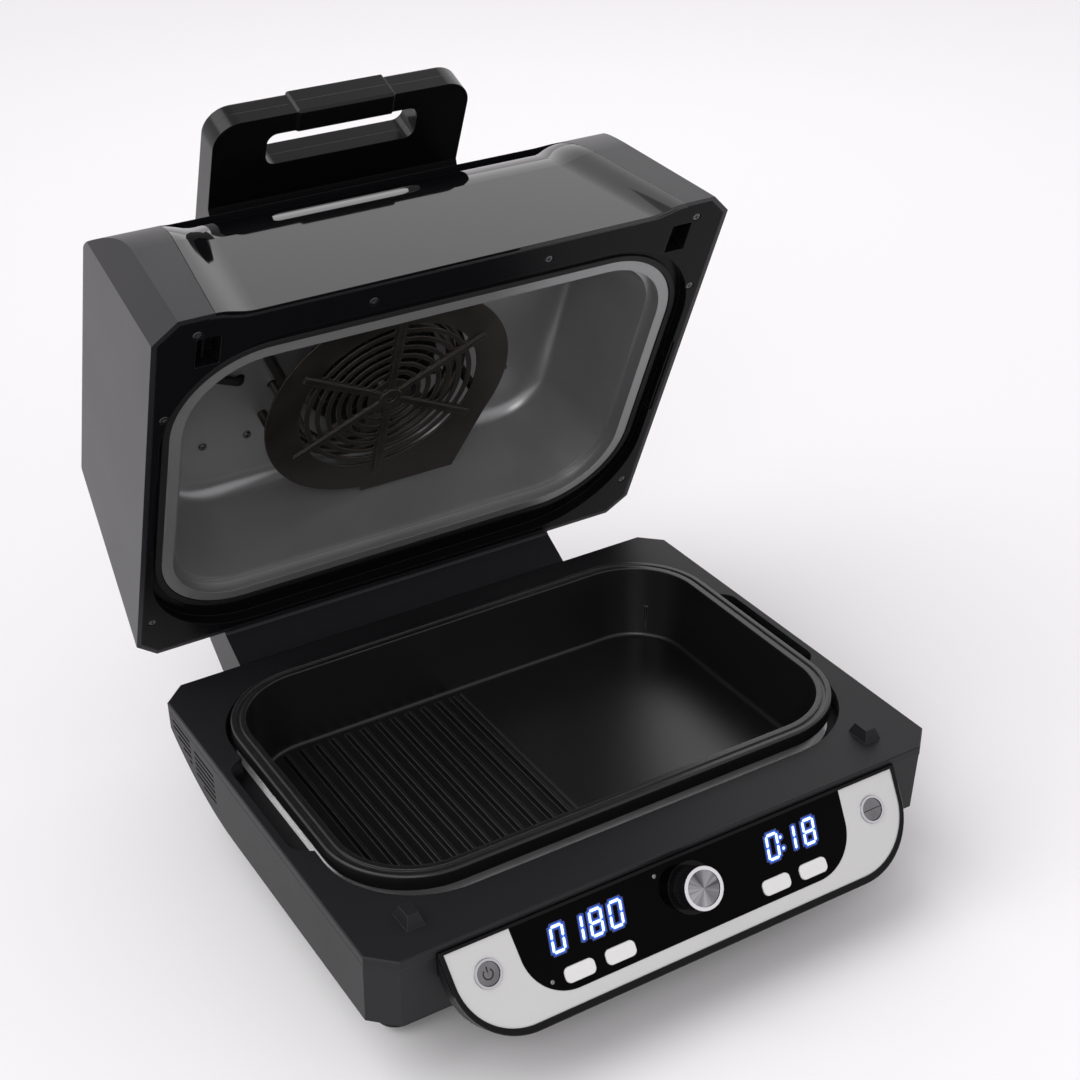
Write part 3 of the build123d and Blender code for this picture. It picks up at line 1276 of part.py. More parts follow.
def make_lid_heater():
    """The spiral element round the fan, its ends standing up through the ceiling."""
    path = coil_path()
    start = Plane(origin=path @ 0, z_dir=path % 0)
    coil = Pos(0, FAN_Y, COIL_LEVEL) * sweep(start * Circle(COIL_TUBE), path=path)
    for x, y in coil_ends():
        coil += Pos(x, y, COIL_LEVEL) * Sphere(COIL_TUBE)
        coil += prism(Pos(x, y) * Circle(COIL_TUBE), COIL_LEVEL, CEILING_LEVEL + 12)
    return coil


def make_heater_lead():
    """The sleeved lead of the upper element, bent across the liner's ceiling."""
    level = CEILING_LEVEL - LINER_SHEET - COIL_TUBE - 1
    points = [(x, y, level) for x, y in LEAD_POINTS]
    points.append((*LEAD_END, level))
    points.append((*LEAD_END, CEILING_LEVEL + 12))
    path = FilletPolyline(*points, radius=LEAD_BEND)
    start = Plane(origin=path @ 0, z_dir=path % 0)
    return sweep(start * Circle(COIL_TUBE), path=path)


def make_fan_impeller():
    """The fan wheel: a disc, its hub and radial blades."""
    wheel = tube(BLADE_OUTER + 4, FAN_SHAFT_RADIUS, BLADE_HIGH, BLADE_HIGH + BLADE_THICKNESS)
    wheel += tube(2 * FAN_SHAFT_RADIUS + 2, FAN_SHAFT_RADIUS, BLADE_LOW + 4, BLADE_HIGH + 5)
    for index in range(BLADE_COUNT):
        length = BLADE_OUTER - BLADE_INNER
        height = BLADE_HIGH - BLADE_LOW + 0.3
        blade = Box(length, BLADE_THICKNESS, height)
        blade = Pos(BLADE_INNER + length / 2, 0, BLADE_LOW + height / 2) * blade
        wheel += Rot(0, 0, index * 360.0 / BLADE_COUNT) * blade
    wheel -= prism(Circle(FAN_SHAFT_RADIUS), 0, 2 * BLADE_HIGH)
    return Pos(0, FAN_Y, 0) * wheel


def make_fan_shaft():
    """The motor's shaft, from the impeller's hub up into the motor."""
    return Pos(0, FAN_Y, 0) * prism(Circle(FAN_SHAFT_RADIUS), SHAFT_LOW, SHAFT_HIGH)


def make_fan_motor():
    """The fan motor above the ceiling, bored for the shaft."""
    motor = prism(Circle(MOTOR_RADIUS), MOTOR_LOW, MOTOR_HIGH)
    motor = fillet(motor.edges().group_by(Axis.Z)[-1], 5)
    motor += prism(Circle(MOTOR_RADIUS / 3), MOTOR_LOW - 4, MOTOR_LOW)
    motor += prism(Circle(MOTOR_RADIUS / 2), MOTOR_HIGH - 1, MOTOR_HIGH + 4)
    motor -= prism(Circle(FAN_SHAFT_RADIUS + RUNNING_FIT), 0, SHAFT_HIGH + 2)
    return Pos(0, FAN_Y, 0) * motor


def make_motor_bracket():
    """The bridge that carries the motor over the liner's ceiling."""
    low = CEILING_LEVEL
    top = prism(Rectangle(2 * BRACKET_HALF, 30) - Circle(MOTOR_RADIUS / 3), MOTOR_LOW - 2, MOTOR_LOW)
    for side in (-1, 1):
        leg = Pos(side * (BRACKET_HALF - 1), 0, (low + MOTOR_LOW) / 2) * Box(2, 30, MOTOR_LOW - low)
        foot = Pos(side * (BRACKET_HALF + 7), 0, low + 1) * Box(18, 30, 2)
        top += leg + foot
    return Pos(0, FAN_Y, 0) * top


# Hinge arm and handle

def arm_face():
    """The side outline of the lid's hinge arm, with its barrel round the hinge axis."""
    body = make_face(Polyline((LID_BACK - 3 * WALL, 30), (LID_BACK + 5.3, LID_RIM), (182.3, -24.6),
                              (HINGE_Y, HINGE_Z), (HINGE_Y + BARREL_RADIUS, HINGE_Z), (223.8, 0.9),
                              (216.4, 26.5), (200.0, 44.0), (LID_BACK - 6 * WALL, 66), close=True))
    return body + Pos(HINGE_Y, HINGE_Z) * Circle(BARREL_RADIUS)


def make_hinge_arm():
    """The wide arm behind the lid, ribbed inside, with bores for the bushes."""
    arm = side_prism(arm_face(), -ARM_HALF, ARM_HALF)
    hollow_face = offset(arm_face(), amount=-FRAME_WALL - 1.5)
    rooms = 5
    width = (2 * ARM_HALF - 2 * BUSH_LENGTH) / rooms
    for index in range(rooms):
        low = -ARM_HALF + BUSH_LENGTH + index * width
        arm -= side_prism(hollow_face, low + FRAME_WALL / 2, low + width - FRAME_WALL / 2)
    arm -= across_axis(BUSH_RADIUS, -ARM_HALF - 1, -ARM_HALF + BUSH_LENGTH)
    arm -= across_axis(BUSH_RADIUS, ARM_HALF - BUSH_LENGTH, ARM_HALF + 1)
    return arm - lid_block(0.0, LID_RIM)


def make_hinge_bushes():
    """The plain bearings in the arm that turn on the pins."""
    bush = across_axis(BUSH_RADIUS, ARM_HALF - BUSH_LENGTH, ARM_HALF)
    bush -= across_axis(PIN_RADIUS + RUNNING_FIT, 0, 2 * ARM_HALF)
    return mirrored(bush)


def handle_profile():
    """The side outline of the whole handle, from the grip bar to its root on the lid."""
    root = LID_TOP - 3 * WALL
    return make_face(Polyline((HANDLE_FRONT, HANDLE_UNDERSIDE), (HANDLE_REACH, HANDLE_UNDERSIDE),
                              (HANDLE_ROOT_FRONT, LID_TOP), (HANDLE_ROOT_FRONT, root),
                              (HANDLE_ROOT_BACK, root), (HANDLE_ROOT_BACK, LID_TOP + 2 * WALL),
                              (HANDLE_SHOULDER, HANDLE_TOP), (HANDLE_FRONT, HANDLE_TOP), close=True))


def handle_plan(grow=0.0):
    """The handle's outline seen from above."""
    return rounded(HANDLE_HALF, HANDLE_FRONT, HANDLE_ROOT_BACK, HANDLE_CORNER, grow)


def slot_plan(grow=0.0):
    """The finger slot's outline seen from above."""
    return rounded(SLOT_HALF, SLOT_FRONT, SLOT_BACK, SLOT_CORNER, grow)


def handle_solid():
    """The handle before it is split into its two shells."""
    solid = side_prism(handle_profile(), -HANDLE_HALF, HANDLE_HALF)
    solid &= prism(handle_plan(), 0, 2 * HANDLE_TOP)
    rim = [edge for edge in solid.edges().group_by(Axis.Z)[-1] if edge.length > 1]
    solid = fillet(rim, 2.0)
    depth = SLOT_FRONT - HANDLE_FRONT
    grip = Pos(0, (SLOT_FRONT + HANDLE_FRONT) / 2, (HANDLE_UNDERSIDE + HANDLE_TOP) / 2) * Box(
        2 * GRIP_HALF, depth + 2 * GRIP_SWELL, HANDLE_TOP - HANDLE_UNDERSIDE + 2 * GRIP_SWELL)
    solid += chamfer(grip.edges(), GRIP_SWELL)
    return solid - prism(slot_plan(), 0, 2 * HANDLE_TOP) - lid_block(0.0)


def handle_hollow():
    """The hollow inside the handle's two shells."""
    front = HANDLE_FRONT + HANDLE_WALL
    plan = rounded(HANDLE_HALF, front, HANDLE_REACH, HANDLE_CORNER - HANDLE_WALL, 0)
    plan &= handle_plan(-HANDLE_WALL)
    plan -= slot_plan(HANDLE_WALL)
    return prism(plan, HANDLE_UNDERSIDE + HANDLE_WALL, HANDLE_TOP - HANDLE_WALL)


def handle_bolt_places():
    """Where the bolts run from inside the lid into the handle's root."""
    middle = (HANDLE_ROOT_FRONT + HANDLE_ROOT_BACK) / 2
    return [(side * HANDLE_HALF * 0.7, middle) for side in (-1, 1)]


def handle_bolt_holes(radius):
    """Bores through the lid's top for the handle bolts."""
    low = LID_TOP - 8 * WALL
    holes = [prism(Pos(x, y) * Circle(radius), low, HANDLE_SEAM - 2) for x, y in handle_bolt_places()]
    return holes[0] + holes[1]


def make_handle_body():
    """The handle's lower shell, with its root on the lid."""
    return below(handle_solid() - handle_hollow() - handle_bolt_holes(SCREW_SHANK), HANDLE_SEAM)


def make_handle_cover():
    """The handle's upper shell."""
    return above(handle_solid() - handle_hollow(), HANDLE_SEAM)


def make_handle_bolts():
    """The two bolts that hold the handle from inside the lid."""
    bolts = []
    for x, y in handle_bolt_places():
        bolts.append(screw(x, y, LID_TOP - LID_WALL, HANDLE_SEAM - LID_TOP - 2 + LID_WALL))
    return bolts


# The nodes of the base, and those of the lid, which are drawn closed and then swung open

BASE_NODES = {
    "base_deck": make_base_deck,
    "base_shell": make_base_shell,
    "bottom_cover": make_bottom_cover,
    "rubber_feet": make_rubber_feet,
    "heat_bowl": make_heat_bowl,
    "lower_heater": make_lower_heater,
    "heater_clips": make_heater_clips,
    "temperature_probe": make_temperature_probe,
    "panel_housing": make_panel_housing,
    "panel_bezel": make_panel_bezel,
    "panel_plate": make_panel_plate,
    "display_glass": make_display_glass,
    "display_modules": make_display_modules,
    "control_board": make_control_board,
    "button_rings": make_button_rings,
    "power_button": lambda: make_round_button(-1),
    "start_button": lambda: make_round_button(1),
    "pill_button_1": lambda: make_pill_button(pill_places()[0]),
    "pill_button_2": lambda: make_pill_button(pill_places()[1]),
    "pill_button_3": lambda: make_pill_button(pill_places()[2]),
    "pill_button_4": lambda: make_pill_button(pill_places()[3]),
    "knob_collar": make_knob_collar,
    "selector_knob": make_selector_knob,
    "encoder": make_encoder,
    "power_board": make_power_board,
    "cord_gland": make_cord_gland,
    "hinge_brackets": make_hinge_brackets,
    "hinge_pins": make_hinge_pins,
    "friction_washers": make_friction_washers,
    "lid_switch": make_lid_switch,
    "grill_pan": make_grill_pan,
}

LID_NODES = {
    "lid_shell": make_lid_shell,
    "gloss_panel": make_gloss_panel,
    "handle_body": make_handle_body,
    "handle_cover": make_handle_cover,
    "handle_bolts": make_handle_bolts,
    "lid_frame": make_lid_frame,
    "frame_screws": make_frame_screws,
    "latch_keepers": make_latch_keepers,
    "lid_seal": make_lid_seal,
    "lid_liner": make_lid_liner,
    "liner_screws": make_liner_screws,
    "heater_guard": make_heater_guard,
    "lid_heater": make_lid_heater,
    "heater_lead": make_heater_lead,
    "fan_motor": make_fan_motor,
    "motor_bracket": make_motor_bracket,
    "fan_impeller": make_fan_impeller,
    "fan_shaft": make_fan_shaft,
    "hinge_arm": make_hinge_arm,
    "hinge_bushes": make_hinge_bushes,
}


def as_shape(made):
    """One shape from what a maker returns: a solid, or several kept apart."""
    if isinstance(made, list):
        return Compound(children=[piece for piece in made])
    return made


def main():
    """Make every node, centre the whole on its feet and write one file for each."""
    os.makedirs("parts", exist_ok=True)
    nodes = {}
    for name, maker in BASE_NODES.items():
        nodes[name] = as_shape(maker())
    for name, maker in LID_NODES.items():
        nodes[name] = on_lid(as_shape(maker()))
    boxes = [shape.bounding_box() for shape in nodes.values()]
    back = max(box.max.Y for box in boxes)
    front = min(box.min.Y for box in boxes)
    shift = round(-(front + back) / 2, 1)
    for name, shape in nodes.items():
        export_step(Pos(0, shift, DECK_HEIGHT) * shape, "parts/" + name + ".step")
    print("moved by", shift, DECK_HEIGHT, "depth", round(back - front, 1))
    print("hinge at", round(HINGE_Y + shift, 2), round(HINGE_Z + DECK_HEIGHT, 2))


main()
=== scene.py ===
import logging
import math
from dataclasses import dataclass
from enum import Enum

import bpy
from mathutils import Matrix, Vector


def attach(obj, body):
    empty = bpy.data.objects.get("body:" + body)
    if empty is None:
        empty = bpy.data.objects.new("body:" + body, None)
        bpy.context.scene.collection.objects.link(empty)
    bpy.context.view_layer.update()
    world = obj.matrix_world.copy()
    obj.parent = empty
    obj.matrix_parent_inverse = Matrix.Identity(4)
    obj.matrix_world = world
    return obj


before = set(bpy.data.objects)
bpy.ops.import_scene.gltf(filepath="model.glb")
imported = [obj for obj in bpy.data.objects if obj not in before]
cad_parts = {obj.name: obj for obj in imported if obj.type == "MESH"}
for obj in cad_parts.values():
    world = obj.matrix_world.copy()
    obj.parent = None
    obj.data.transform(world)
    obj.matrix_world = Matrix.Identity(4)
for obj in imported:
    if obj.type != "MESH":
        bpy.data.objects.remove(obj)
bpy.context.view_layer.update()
LOG = logging.getLogger("cooker")

Point = tuple[float, float, float]
Colour = tuple[float, float, float]

PANEL_ORIGIN = Vector((0.0, -0.24175, 0.1062))
PANEL_DOWN = Vector((0.0, -0.5476, -0.8368))
PANEL_OUT = Vector((0.0, -0.8368, 0.5476))
HINGE = Vector((0.0, 0.1298, 0.0758))
DECK_HINGE = Vector((0.0, 0.1965, -0.0342))
LID_SIN = 0.9107
LID_COS = 0.4131
KNOB_DOWN = 0.023


class Pattern(Enum):
    """The kinds of small relief that a finish can carry."""

    GRAIN = "grain"
    BRUSHED = "brushed"
    SPECKLE = "speckle"
    # Also the mask of the painted reflection rays on the knob's inlay.
    TURNED = "turned"


def on_panel(across: float, down: float, out: float) -> Vector:
    """A point given on the control panel, in the row frame.

    Args:
        across: Distance to the right of the panel's middle, in metres.
        down: Distance down the panel's slope, in metres.
        out: Height above the panel's face, in metres.

    Returns:
        The point in the row frame.
    """
    return PANEL_ORIGIN + Vector((across, 0.0, 0.0)) + PANEL_DOWN * down + PANEL_OUT * out


def on_lid(x: float, y: float, z: float) -> Vector:
    """A point given with the lid closed, swung open to the rest pose.

    Args:
        x: Distance across, in metres.
        y: Distance back from the deck's middle, in metres.
        z: Height above the deck, in metres.

    Returns:
        The point in the row frame with the lid open.
    """
    back = y - DECK_HINGE.y
    rise = z - DECK_HINGE.z
    return Vector((x, HINGE.y + back * LID_COS + rise * LID_SIN, HINGE.z - back * LID_SIN + rise * LID_COS))


def new_group(name: str, inputs: dict[str, float | Colour], outputs: dict[str, str]) -> bpy.types.NodeTree:
    """An empty shader group with named sockets.

    Args:
        name: The group's name.
        inputs: Default of each input; a number makes a value, three numbers a colour.
        outputs: Socket type of each output.

    Returns:
        The group, with its input and output nodes in place.
    """
    group = bpy.data.node_groups.new(name, "ShaderNodeTree")
    for label, default in inputs.items():
        is_colour = isinstance(default, tuple)
        kind = "NodeSocketColor" if is_colour else "NodeSocketFloat"
        socket = group.interface.new_socket(label, in_out="INPUT", socket_type=kind)
        socket.default_value = (*default, 1.0) if is_colour else default
    for label, kind in outputs.items():
        group.interface.new_socket(label, in_out="OUTPUT", socket_type=kind)
    group.nodes.new("NodeGroupInput").name = "in"
    group.nodes.new("NodeGroupOutput").name = "out"
    return group


class Effects:
    """The shader groups that the finishes share, each built once."""

    def __init__(self) -> None:
        """Build every group."""
        self.relief = {
            Pattern.GRAIN: self._noise("fine_grain", (1.0, 1.0, 1.0)),
            Pattern.BRUSHED: self._noise("brushed_lines", (0.03, 1.0, 1.0)),
            Pattern.SPECKLE: self._cells("fleck"),
            Pattern.TURNED: self._turned("turned_face_painted_rays"),
        }
        self.facing = self._facing("panel_facing")
        self.mottle = self._mottle()
        self.edges = self._edges()

    def _noise(self, name: str, stretch: Point) -> bpy.types.NodeTree:
        """A group that gives relief from noise, stretched along chosen axes.

        Args:
            name: The group's name.
            stretch: Scale of the noise along each axis.

        Returns:
            The group.
        """
        group = new_group(name, {"Scale": 1000.0}, {"Height": "NodeSocketFloat"})
        nodes, links = group.nodes, group.links
        place = nodes.new("ShaderNodeTexCoord")
        mapping = nodes.new("ShaderNodeMapping")
        mapping.inputs["Scale"].default_value = stretch
        noise = nodes.new("ShaderNodeTexNoise")
        noise.inputs["Detail"].default_value = 3.0
        links.new(place.outputs["Object"], mapping.inputs["Vector"])
        links.new(mapping.outputs["Vector"], noise.inputs["Vector"])
        links.new(nodes["in"].outputs["Scale"], noise.inputs["Scale"])
        links.new(noise.outputs["Fac"], nodes["out"].inputs["Height"])
        return group

    def _cells(self, name: str) -> bpy.types.NodeTree:
        """A group that gives scattered flecks, as in a sprayed coating.

        Args:
            name: The group's name.

        Returns:
            The group.
        """
        group = new_group(name, {"Scale": 1000.0}, {"Height": "NodeSocketFloat"})
        nodes, links = group.nodes, group.links
        place = nodes.new("ShaderNodeTexCoord")
        cells = nodes.new("ShaderNodeTexVoronoi")
        ramp = nodes.new("ShaderNodeMapRange")
        ramp.inputs["From Max"].default_value = 0.55
        ramp.inputs["To Min"].default_value = 1.0
        ramp.inputs["To Max"].default_value = 0.0
        links.new(place.outputs["Object"], cells.inputs["Vector"])
        links.new(nodes["in"].outputs["Scale"], cells.inputs["Scale"])
        links.new(cells.outputs["Distance"], ramp.inputs["Value"])
        links.new(ramp.outputs["Result"], nodes["out"].inputs["Height"])
        return group

    def _turned(self, name: str) -> bpy.types.NodeTree:
        """A group that gives rays about the knob's middle, as on a face turned on a lathe; besides giving
        relief, they mask the painted reflection rays laid on the knob's inlay.

        Args:
            name: The group's name.

        Returns:
            The group.
        """
        group = new_group(name, {"Scale": 8.0}, {"Height": "NodeSocketFloat"})
        nodes, links = group.nodes, group.links
        place = nodes.new("ShaderNodeTexCoord")
        local = nodes.new("ShaderNodeMapping")
        local.vector_type = "TEXTURE"
        local.inputs["Location"].default_value = on_panel(0.0, KNOB_DOWN, 0.0)
        local.inputs["Rotation"].default_value = PANEL_OUT.to_track_quat("Z", "Y").to_euler()
        turn = nodes.new("ShaderNodeTexGradient")
        turn.gradient_type = "RADIAL"
        noise = nodes.new("ShaderNodeTexNoise")
        noise.noise_dimensions = "1D"
        noise.inputs["Detail"].default_value = 2.0
        ramp = nodes.new("ShaderNodeMapRange")
        ramp.inputs["From Min"].default_value = 0.35
        ramp.inputs["From Max"].default_value = 0.65
        links.new(place.outputs["Object"], local.inputs["Vector"])
        links.new(local.outputs["Vector"], turn.inputs["Vector"])
        links.new(turn.outputs["Fac"], noise.inputs["W"])
        links.new(nodes["in"].outputs["Scale"], noise.inputs["Scale"])
        links.new(noise.outputs["Fac"], ramp.inputs["Value"])
        links.new(ramp.outputs["Result"], nodes["out"].inputs["Height"])
        return group

    def _facing(self, name: str) -> bpy.types.NodeTree:
        """A group that marks the faces that look out of the control panel.

        Args:
            name: The group's name.

        Returns:
            The group.
        """
        group = new_group(name, {"Low": 0.35, "High": 0.6}, {"Mask": "NodeSocketFloat"})
        nodes, links = group.nodes, group.links
        surface = nodes.new("ShaderNodeNewGeometry")
        dot = nodes.new("ShaderNodeVectorMath")
        dot.operation = "DOT_PRODUCT"
        dot.inputs[1].default_value = PANEL_OUT
        ramp = nodes.new("ShaderNodeMapRange")
        links.new(surface.outputs["Normal"], dot.inputs[0])
        links.new(dot.outputs["Value"], ramp.inputs["Value"])
        links.new(nodes["in"].outputs["Low"], ramp.inputs["From Min"])
        links.new(nodes["in"].outputs["High"], ramp.inputs["From Max"])
        links.new(ramp.outputs["Result"], nodes["out"].inputs["Mask"])
        return group

    def _mottle(self) -> bpy.types.NodeTree:
        """A group that varies a colour and a roughness over the surface, as handling and heat do."""
        group = new_group(
            "mottle", {"Color": (0.5, 0.5, 0.5), "Roughness": 0.5, "Scale": 20.0, "Variation": 0.1},
            {"Color": "NodeSocketColor", "Roughness": "NodeSocketFloat"})
        nodes, links = group.nodes, group.links
        place = nodes.new("ShaderNodeTexCoord")
        noise = nodes.new("ShaderNodeTexNoise")
        noise.inputs["Detail"].default_value = 5.0
        centre = nodes.new("ShaderNodeMath")
        centre.operation = "SUBTRACT"
        centre.inputs[1].default_value = 0.5
        amount = nodes.new("ShaderNodeMath")
        amount.operation = "MULTIPLY"
        gain = nodes.new("ShaderNodeMath")
        gain.operation = "ADD"
        gain.inputs[1].default_value = 1.0
        scale = nodes.new("ShaderNodeVectorMath")
        scale.operation = "SCALE"
        rough = nodes.new("ShaderNodeMath")
        rough.operation = "MULTIPLY"
        links.new(place.outputs["Object"], noise.inputs["Vector"])
        links.new(nodes["in"].outputs["Scale"], noise.inputs["Scale"])
        links.new(noise.outputs["Fac"], centre.inputs[0])
        links.new(centre.outputs[0], amount.inputs[0])
        links.new(nodes["in"].outputs["Variation"], amount.inputs[1])
        links.new(amount.outputs[0], gain.inputs[0])
        links.new(nodes["in"].outputs["Color"], scale.inputs[0])
        links.new(gain.outputs[0], scale.inputs["Scale"])
        links.new(nodes["in"].outputs["Roughness"], rough.inputs[0])
        links.new(gain.outputs[0], rough.inputs[1])
        links.new(scale.outputs["Vector"], nodes["out"].inputs["Color"])
        links.new(rough.outputs[0], nodes["out"].inputs["Roughness"])
        return group

    def _edges(self) -> bpy.types.NodeTree:
        """A group that rounds edges in the shading and marks where they are, as the mask for the painted
        edge shading that a finish lays along its edges.
        """
        group = new_group("soft_edges", {"Radius": 0.0005},
                          {"Normal": "NodeSocketVector", "PaintedEdgeMask": "NodeSocketFloat"})
        nodes, links = group.nodes, group.links
        bevel = nodes.new("ShaderNodeBevel")
        bevel.samples = 4
        surface = nodes.new("ShaderNodeNewGeometry")
        dot = nodes.new("ShaderNodeVectorMath")
        dot.operation = "DOT_PRODUCT"
        mark = nodes.new("ShaderNodeMapRange")
        mark.inputs["From Min"].default_value = 1.0
        mark.inputs["From Max"].default_value = 0.75
        links.new(nodes["in"].outputs["Radius"], bevel.inputs["Radius"])
        links.new(bevel.outputs["Normal"], dot.inputs[0])
        links.new(surface.outputs["Normal"], dot.inputs[1])
        links.new(dot.outputs["Value"], mark.inputs["Value"])
        links.new(bevel.outputs["Normal"], nodes["out"].inputs["Normal"])
        links.new(mark.outputs["Result"], nodes["out"].inputs["PaintedEdgeMask"])
        return group


@dataclass(frozen=True)
class Finish:
    """A surface finish: its colour and gloss, the relief that it carries, the painted shading along its
    edges, and on the knob's inlay painted reflection rays.
    """

    name: str
    colour: Colour
    roughness: float
    metallic: float = 0.0
    pattern: Pattern = Pattern.GRAIN
    scale: float = 1500.0
    relief: float = 0.00002
    variation: float = 0.15
    patch: float = 18.0
    edge_radius: float = 0.0005
    # Painted edge shading: a colour mixed in along edges by the bevel mask, a painted highlight where it is
    # lighter than the finish and painted shade where it is darker.
    painted_edge_shading: Colour = (0.10, 0.10, 0.11)
    painted_edge_shading_amount: float = 0.25
    specular: float = 0.5
    coat: float = 0.0
    # Painted reflection rays: a dark colour laid where the relief pattern is low, standing in for the
    # streaked reflections of a turned face.
    low_painted_reflection: Colour | None = None
    side_colour: Colour | None = None

    def build(self, effects: Effects) -> bpy.types.Material:
        """Make the finish's material.

        Args:
            effects: The shared shader groups.

        Returns:
            The material.
        """
        material = bpy.data.materials.new(self.name)
        material.use_nodes = True
        nodes, links = material.node_tree.nodes, material.node_tree.links
        shader = nodes["Principled BSDF"]
        shader.inputs["Metallic"].default_value = self.metallic
        shader.inputs["Specular IOR Level"].default_value = self.specular
        shader.inputs["Coat Weight"].default_value = self.coat
        shader.inputs["Coat Roughness"].default_value = 0.04
        mottle = self._place(nodes, effects.mottle)
        mottle.inputs["Color"].default_value = (*self.colour, 1.0)
        mottle.inputs["Roughness"].default_value = self.roughness
        mottle.inputs["Scale"].default_value = self.patch
        mottle.inputs["Variation"].default_value = self.variation
        edges = self._place(nodes, effects.edges)
        edges.inputs["Radius"].default_value = self.edge_radius
        # Painted edge shading: the edge colour is mixed into the finish's colour along edges, a painted
        # highlight where lighter and painted shade where darker.
        amount = nodes.new("ShaderNodeMath")
        amount.operation = "MULTIPLY"
        amount.inputs[1].default_value = self.painted_edge_shading_amount
        mix = nodes.new("ShaderNodeMix")
        mix.data_type = "RGBA"
        mix.inputs["B"].default_value = (*self.painted_edge_shading, 1.0)
        relief = self._place(nodes, effects.relief[self.pattern])
        relief.inputs["Scale"].default_value = self.scale
        bump = nodes.new("ShaderNodeBump")
        bump.inputs["Distance"].default_value = self.relief
        links.new(edges.outputs["PaintedEdgeMask"], amount.inputs[0])
        links.new(amount.outputs[0], mix.inputs["Factor"])
        links.new(mottle.outputs["Color"], mix.inputs["A"])
        top = mix.outputs["Result"]
        # Painted reflection rays: the low colour, laid by the relief's height, stands in for the streaked
        # reflections of the knob's turned face.
        if self.low_painted_reflection is not None:
            top = self._over(material.node_tree, self.low_painted_reflection, top, relief.outputs["Height"])
        if self.side_colour is not None:
            facing = self._place(nodes, effects.facing)
            top = self._over(material.node_tree, self.side_colour, top, facing.outputs["Mask"])
            links.new(facing.outputs["Mask"], shader.inputs["Metallic"])
        links.new(top, shader.inputs["Base Color"])
        links.new(mottle.outputs["Roughness"], shader.inputs["Roughness"])
        links.new(relief.outputs["Height"], bump.inputs["Height"])
        links.new(edges.outputs["Normal"], bump.inputs["Normal"])
        links.new(bump.outputs["Normal"], shader.inputs["Normal"])
        return material

    @staticmethod
    def _over(tree: bpy.types.NodeTree, under: Colour, over: bpy.types.NodeSocket,
              mask: bpy.types.NodeSocket) -> bpy.types.NodeSocket:
        """A colour laid over a plain one where a mask says.

        Args:
            tree: The material's nodes.
            under: The plain colour.
            over: The colour laid over it.
            mask: 0 for the plain colour, 1 for the other.

        Returns:
            The mixed colour.
        """
        mix = tree.nodes.new("ShaderNodeMix")
        mix.data_type = "RGBA"
        mix.inputs["A"].default_value = (*under, 1.0)
        tree.links.new(mask, mix.inputs["Factor"])
        tree.links.new(over, mix.inputs["B"])
        return mix.outputs["Result"]

    @staticmethod
    def _place(nodes: bpy.types.Nodes, group: bpy.types.NodeTree) -> bpy.types.Node:
        """A group placed in a material's nodes."""
        node = nodes.new("ShaderNodeGroup")
        node.node_tree = group
        return node


@dataclass(frozen=True)
class Glow:
    """A lit finish, for digits and lamps."""

    name: str
    colour: Colour
    strength: float

    def build(self, effects: Effects) -> bpy.types.Material:
        """Make the lit material, slightly uneven as a lit segment is.

        Args:
            effects: The shared shader groups.

        Returns:
            The material.
        """
        material = bpy.data.materials.new(self.name)
        material.use_nodes = True
        nodes, links = material.node_tree.nodes, material.node_tree.links
        shader = nodes["Principled BSDF"]
        shader.inputs["Base Color"].default_value = (0.02, 0.02, 0.02, 1.0)
        shader.inputs["Emission Strength"].default_value = self.strength
        mottle = nodes.new("ShaderNodeGroup")
        mottle.node_tree = effects.mottle
        mottle.inputs["Color"].default_value = (*self.colour, 1.0)
        mottle.inputs["Scale"].default_value = 300.0
        mottle.inputs["Variation"].default_value = 0.2
        links.new(mottle.outputs["Color"], shader.inputs["Emission Color"])
        return material


# Each finish's edge shading is painted: a painted highlight along the edges of most finishes, painted shade
# where the edge colour is darker, as on CHROME and KNOB.
BLACK = Finish("textured_black", (0.0075, 0.0072, 0.0085), 0.48, scale=1700.0, relief=0.00003,
               painted_edge_shading=(0.085, 0.083, 0.092), painted_edge_shading_amount=0.6, specular=0.26)
CHEEK = Finish("lid_black", (0.009, 0.0085, 0.0105), 0.4, scale=1500.0, relief=0.00002, variation=0.1,
               painted_edge_shading=(0.05, 0.05, 0.056), specular=0.34)
FRAME_BLACK = Finish("frame_black", (0.004, 0.0038, 0.0045), 0.24, scale=1200.0, relief=0.00001,
                     painted_edge_shading=(0.09, 0.09, 0.095), painted_edge_shading_amount=0.4, specular=0.06)
SCREEN = Finish("display_cover", (0.0008, 0.0008, 0.0009), 0.05, scale=60.0, relief=0.000002, variation=0.2,
                patch=9.0, painted_edge_shading_amount=0.05, specular=0.035)
BEZEL = Finish("bezel_black", (0.002, 0.002, 0.0022), 0.12, scale=900.0, relief=0.000004, painted_edge_shading_amount=0.15,
               specular=0.14)
GLOSS = Finish("gloss_black", (0.0025, 0.0025, 0.003), 0.035, scale=60.0, relief=0.000004, variation=0.2,
               patch=9.0, painted_edge_shading_amount=0.1, specular=0.4)
HANDLE = Finish("handle_black", (0.0035, 0.0035, 0.004), 0.2, scale=900.0, relief=0.00001, painted_edge_shading_amount=0.2,
                specular=0.3)
NONSTICK = Finish("nonstick", (0.0052, 0.0052, 0.0057), 0.31, pattern=Pattern.SPECKLE, scale=800.0,
                  relief=0.00003, edge_radius=0.0013, painted_edge_shading=(0.11, 0.11, 0.11), painted_edge_shading_amount=0.6,
                  specular=0.5)
LINER = Finish("coated_sheet", (0.27, 0.272, 0.274), 0.32, metallic=0.6, scale=900.0, relief=0.000006,
               variation=0.2, painted_edge_shading=(0.6, 0.6, 0.6), painted_edge_shading_amount=0.35)
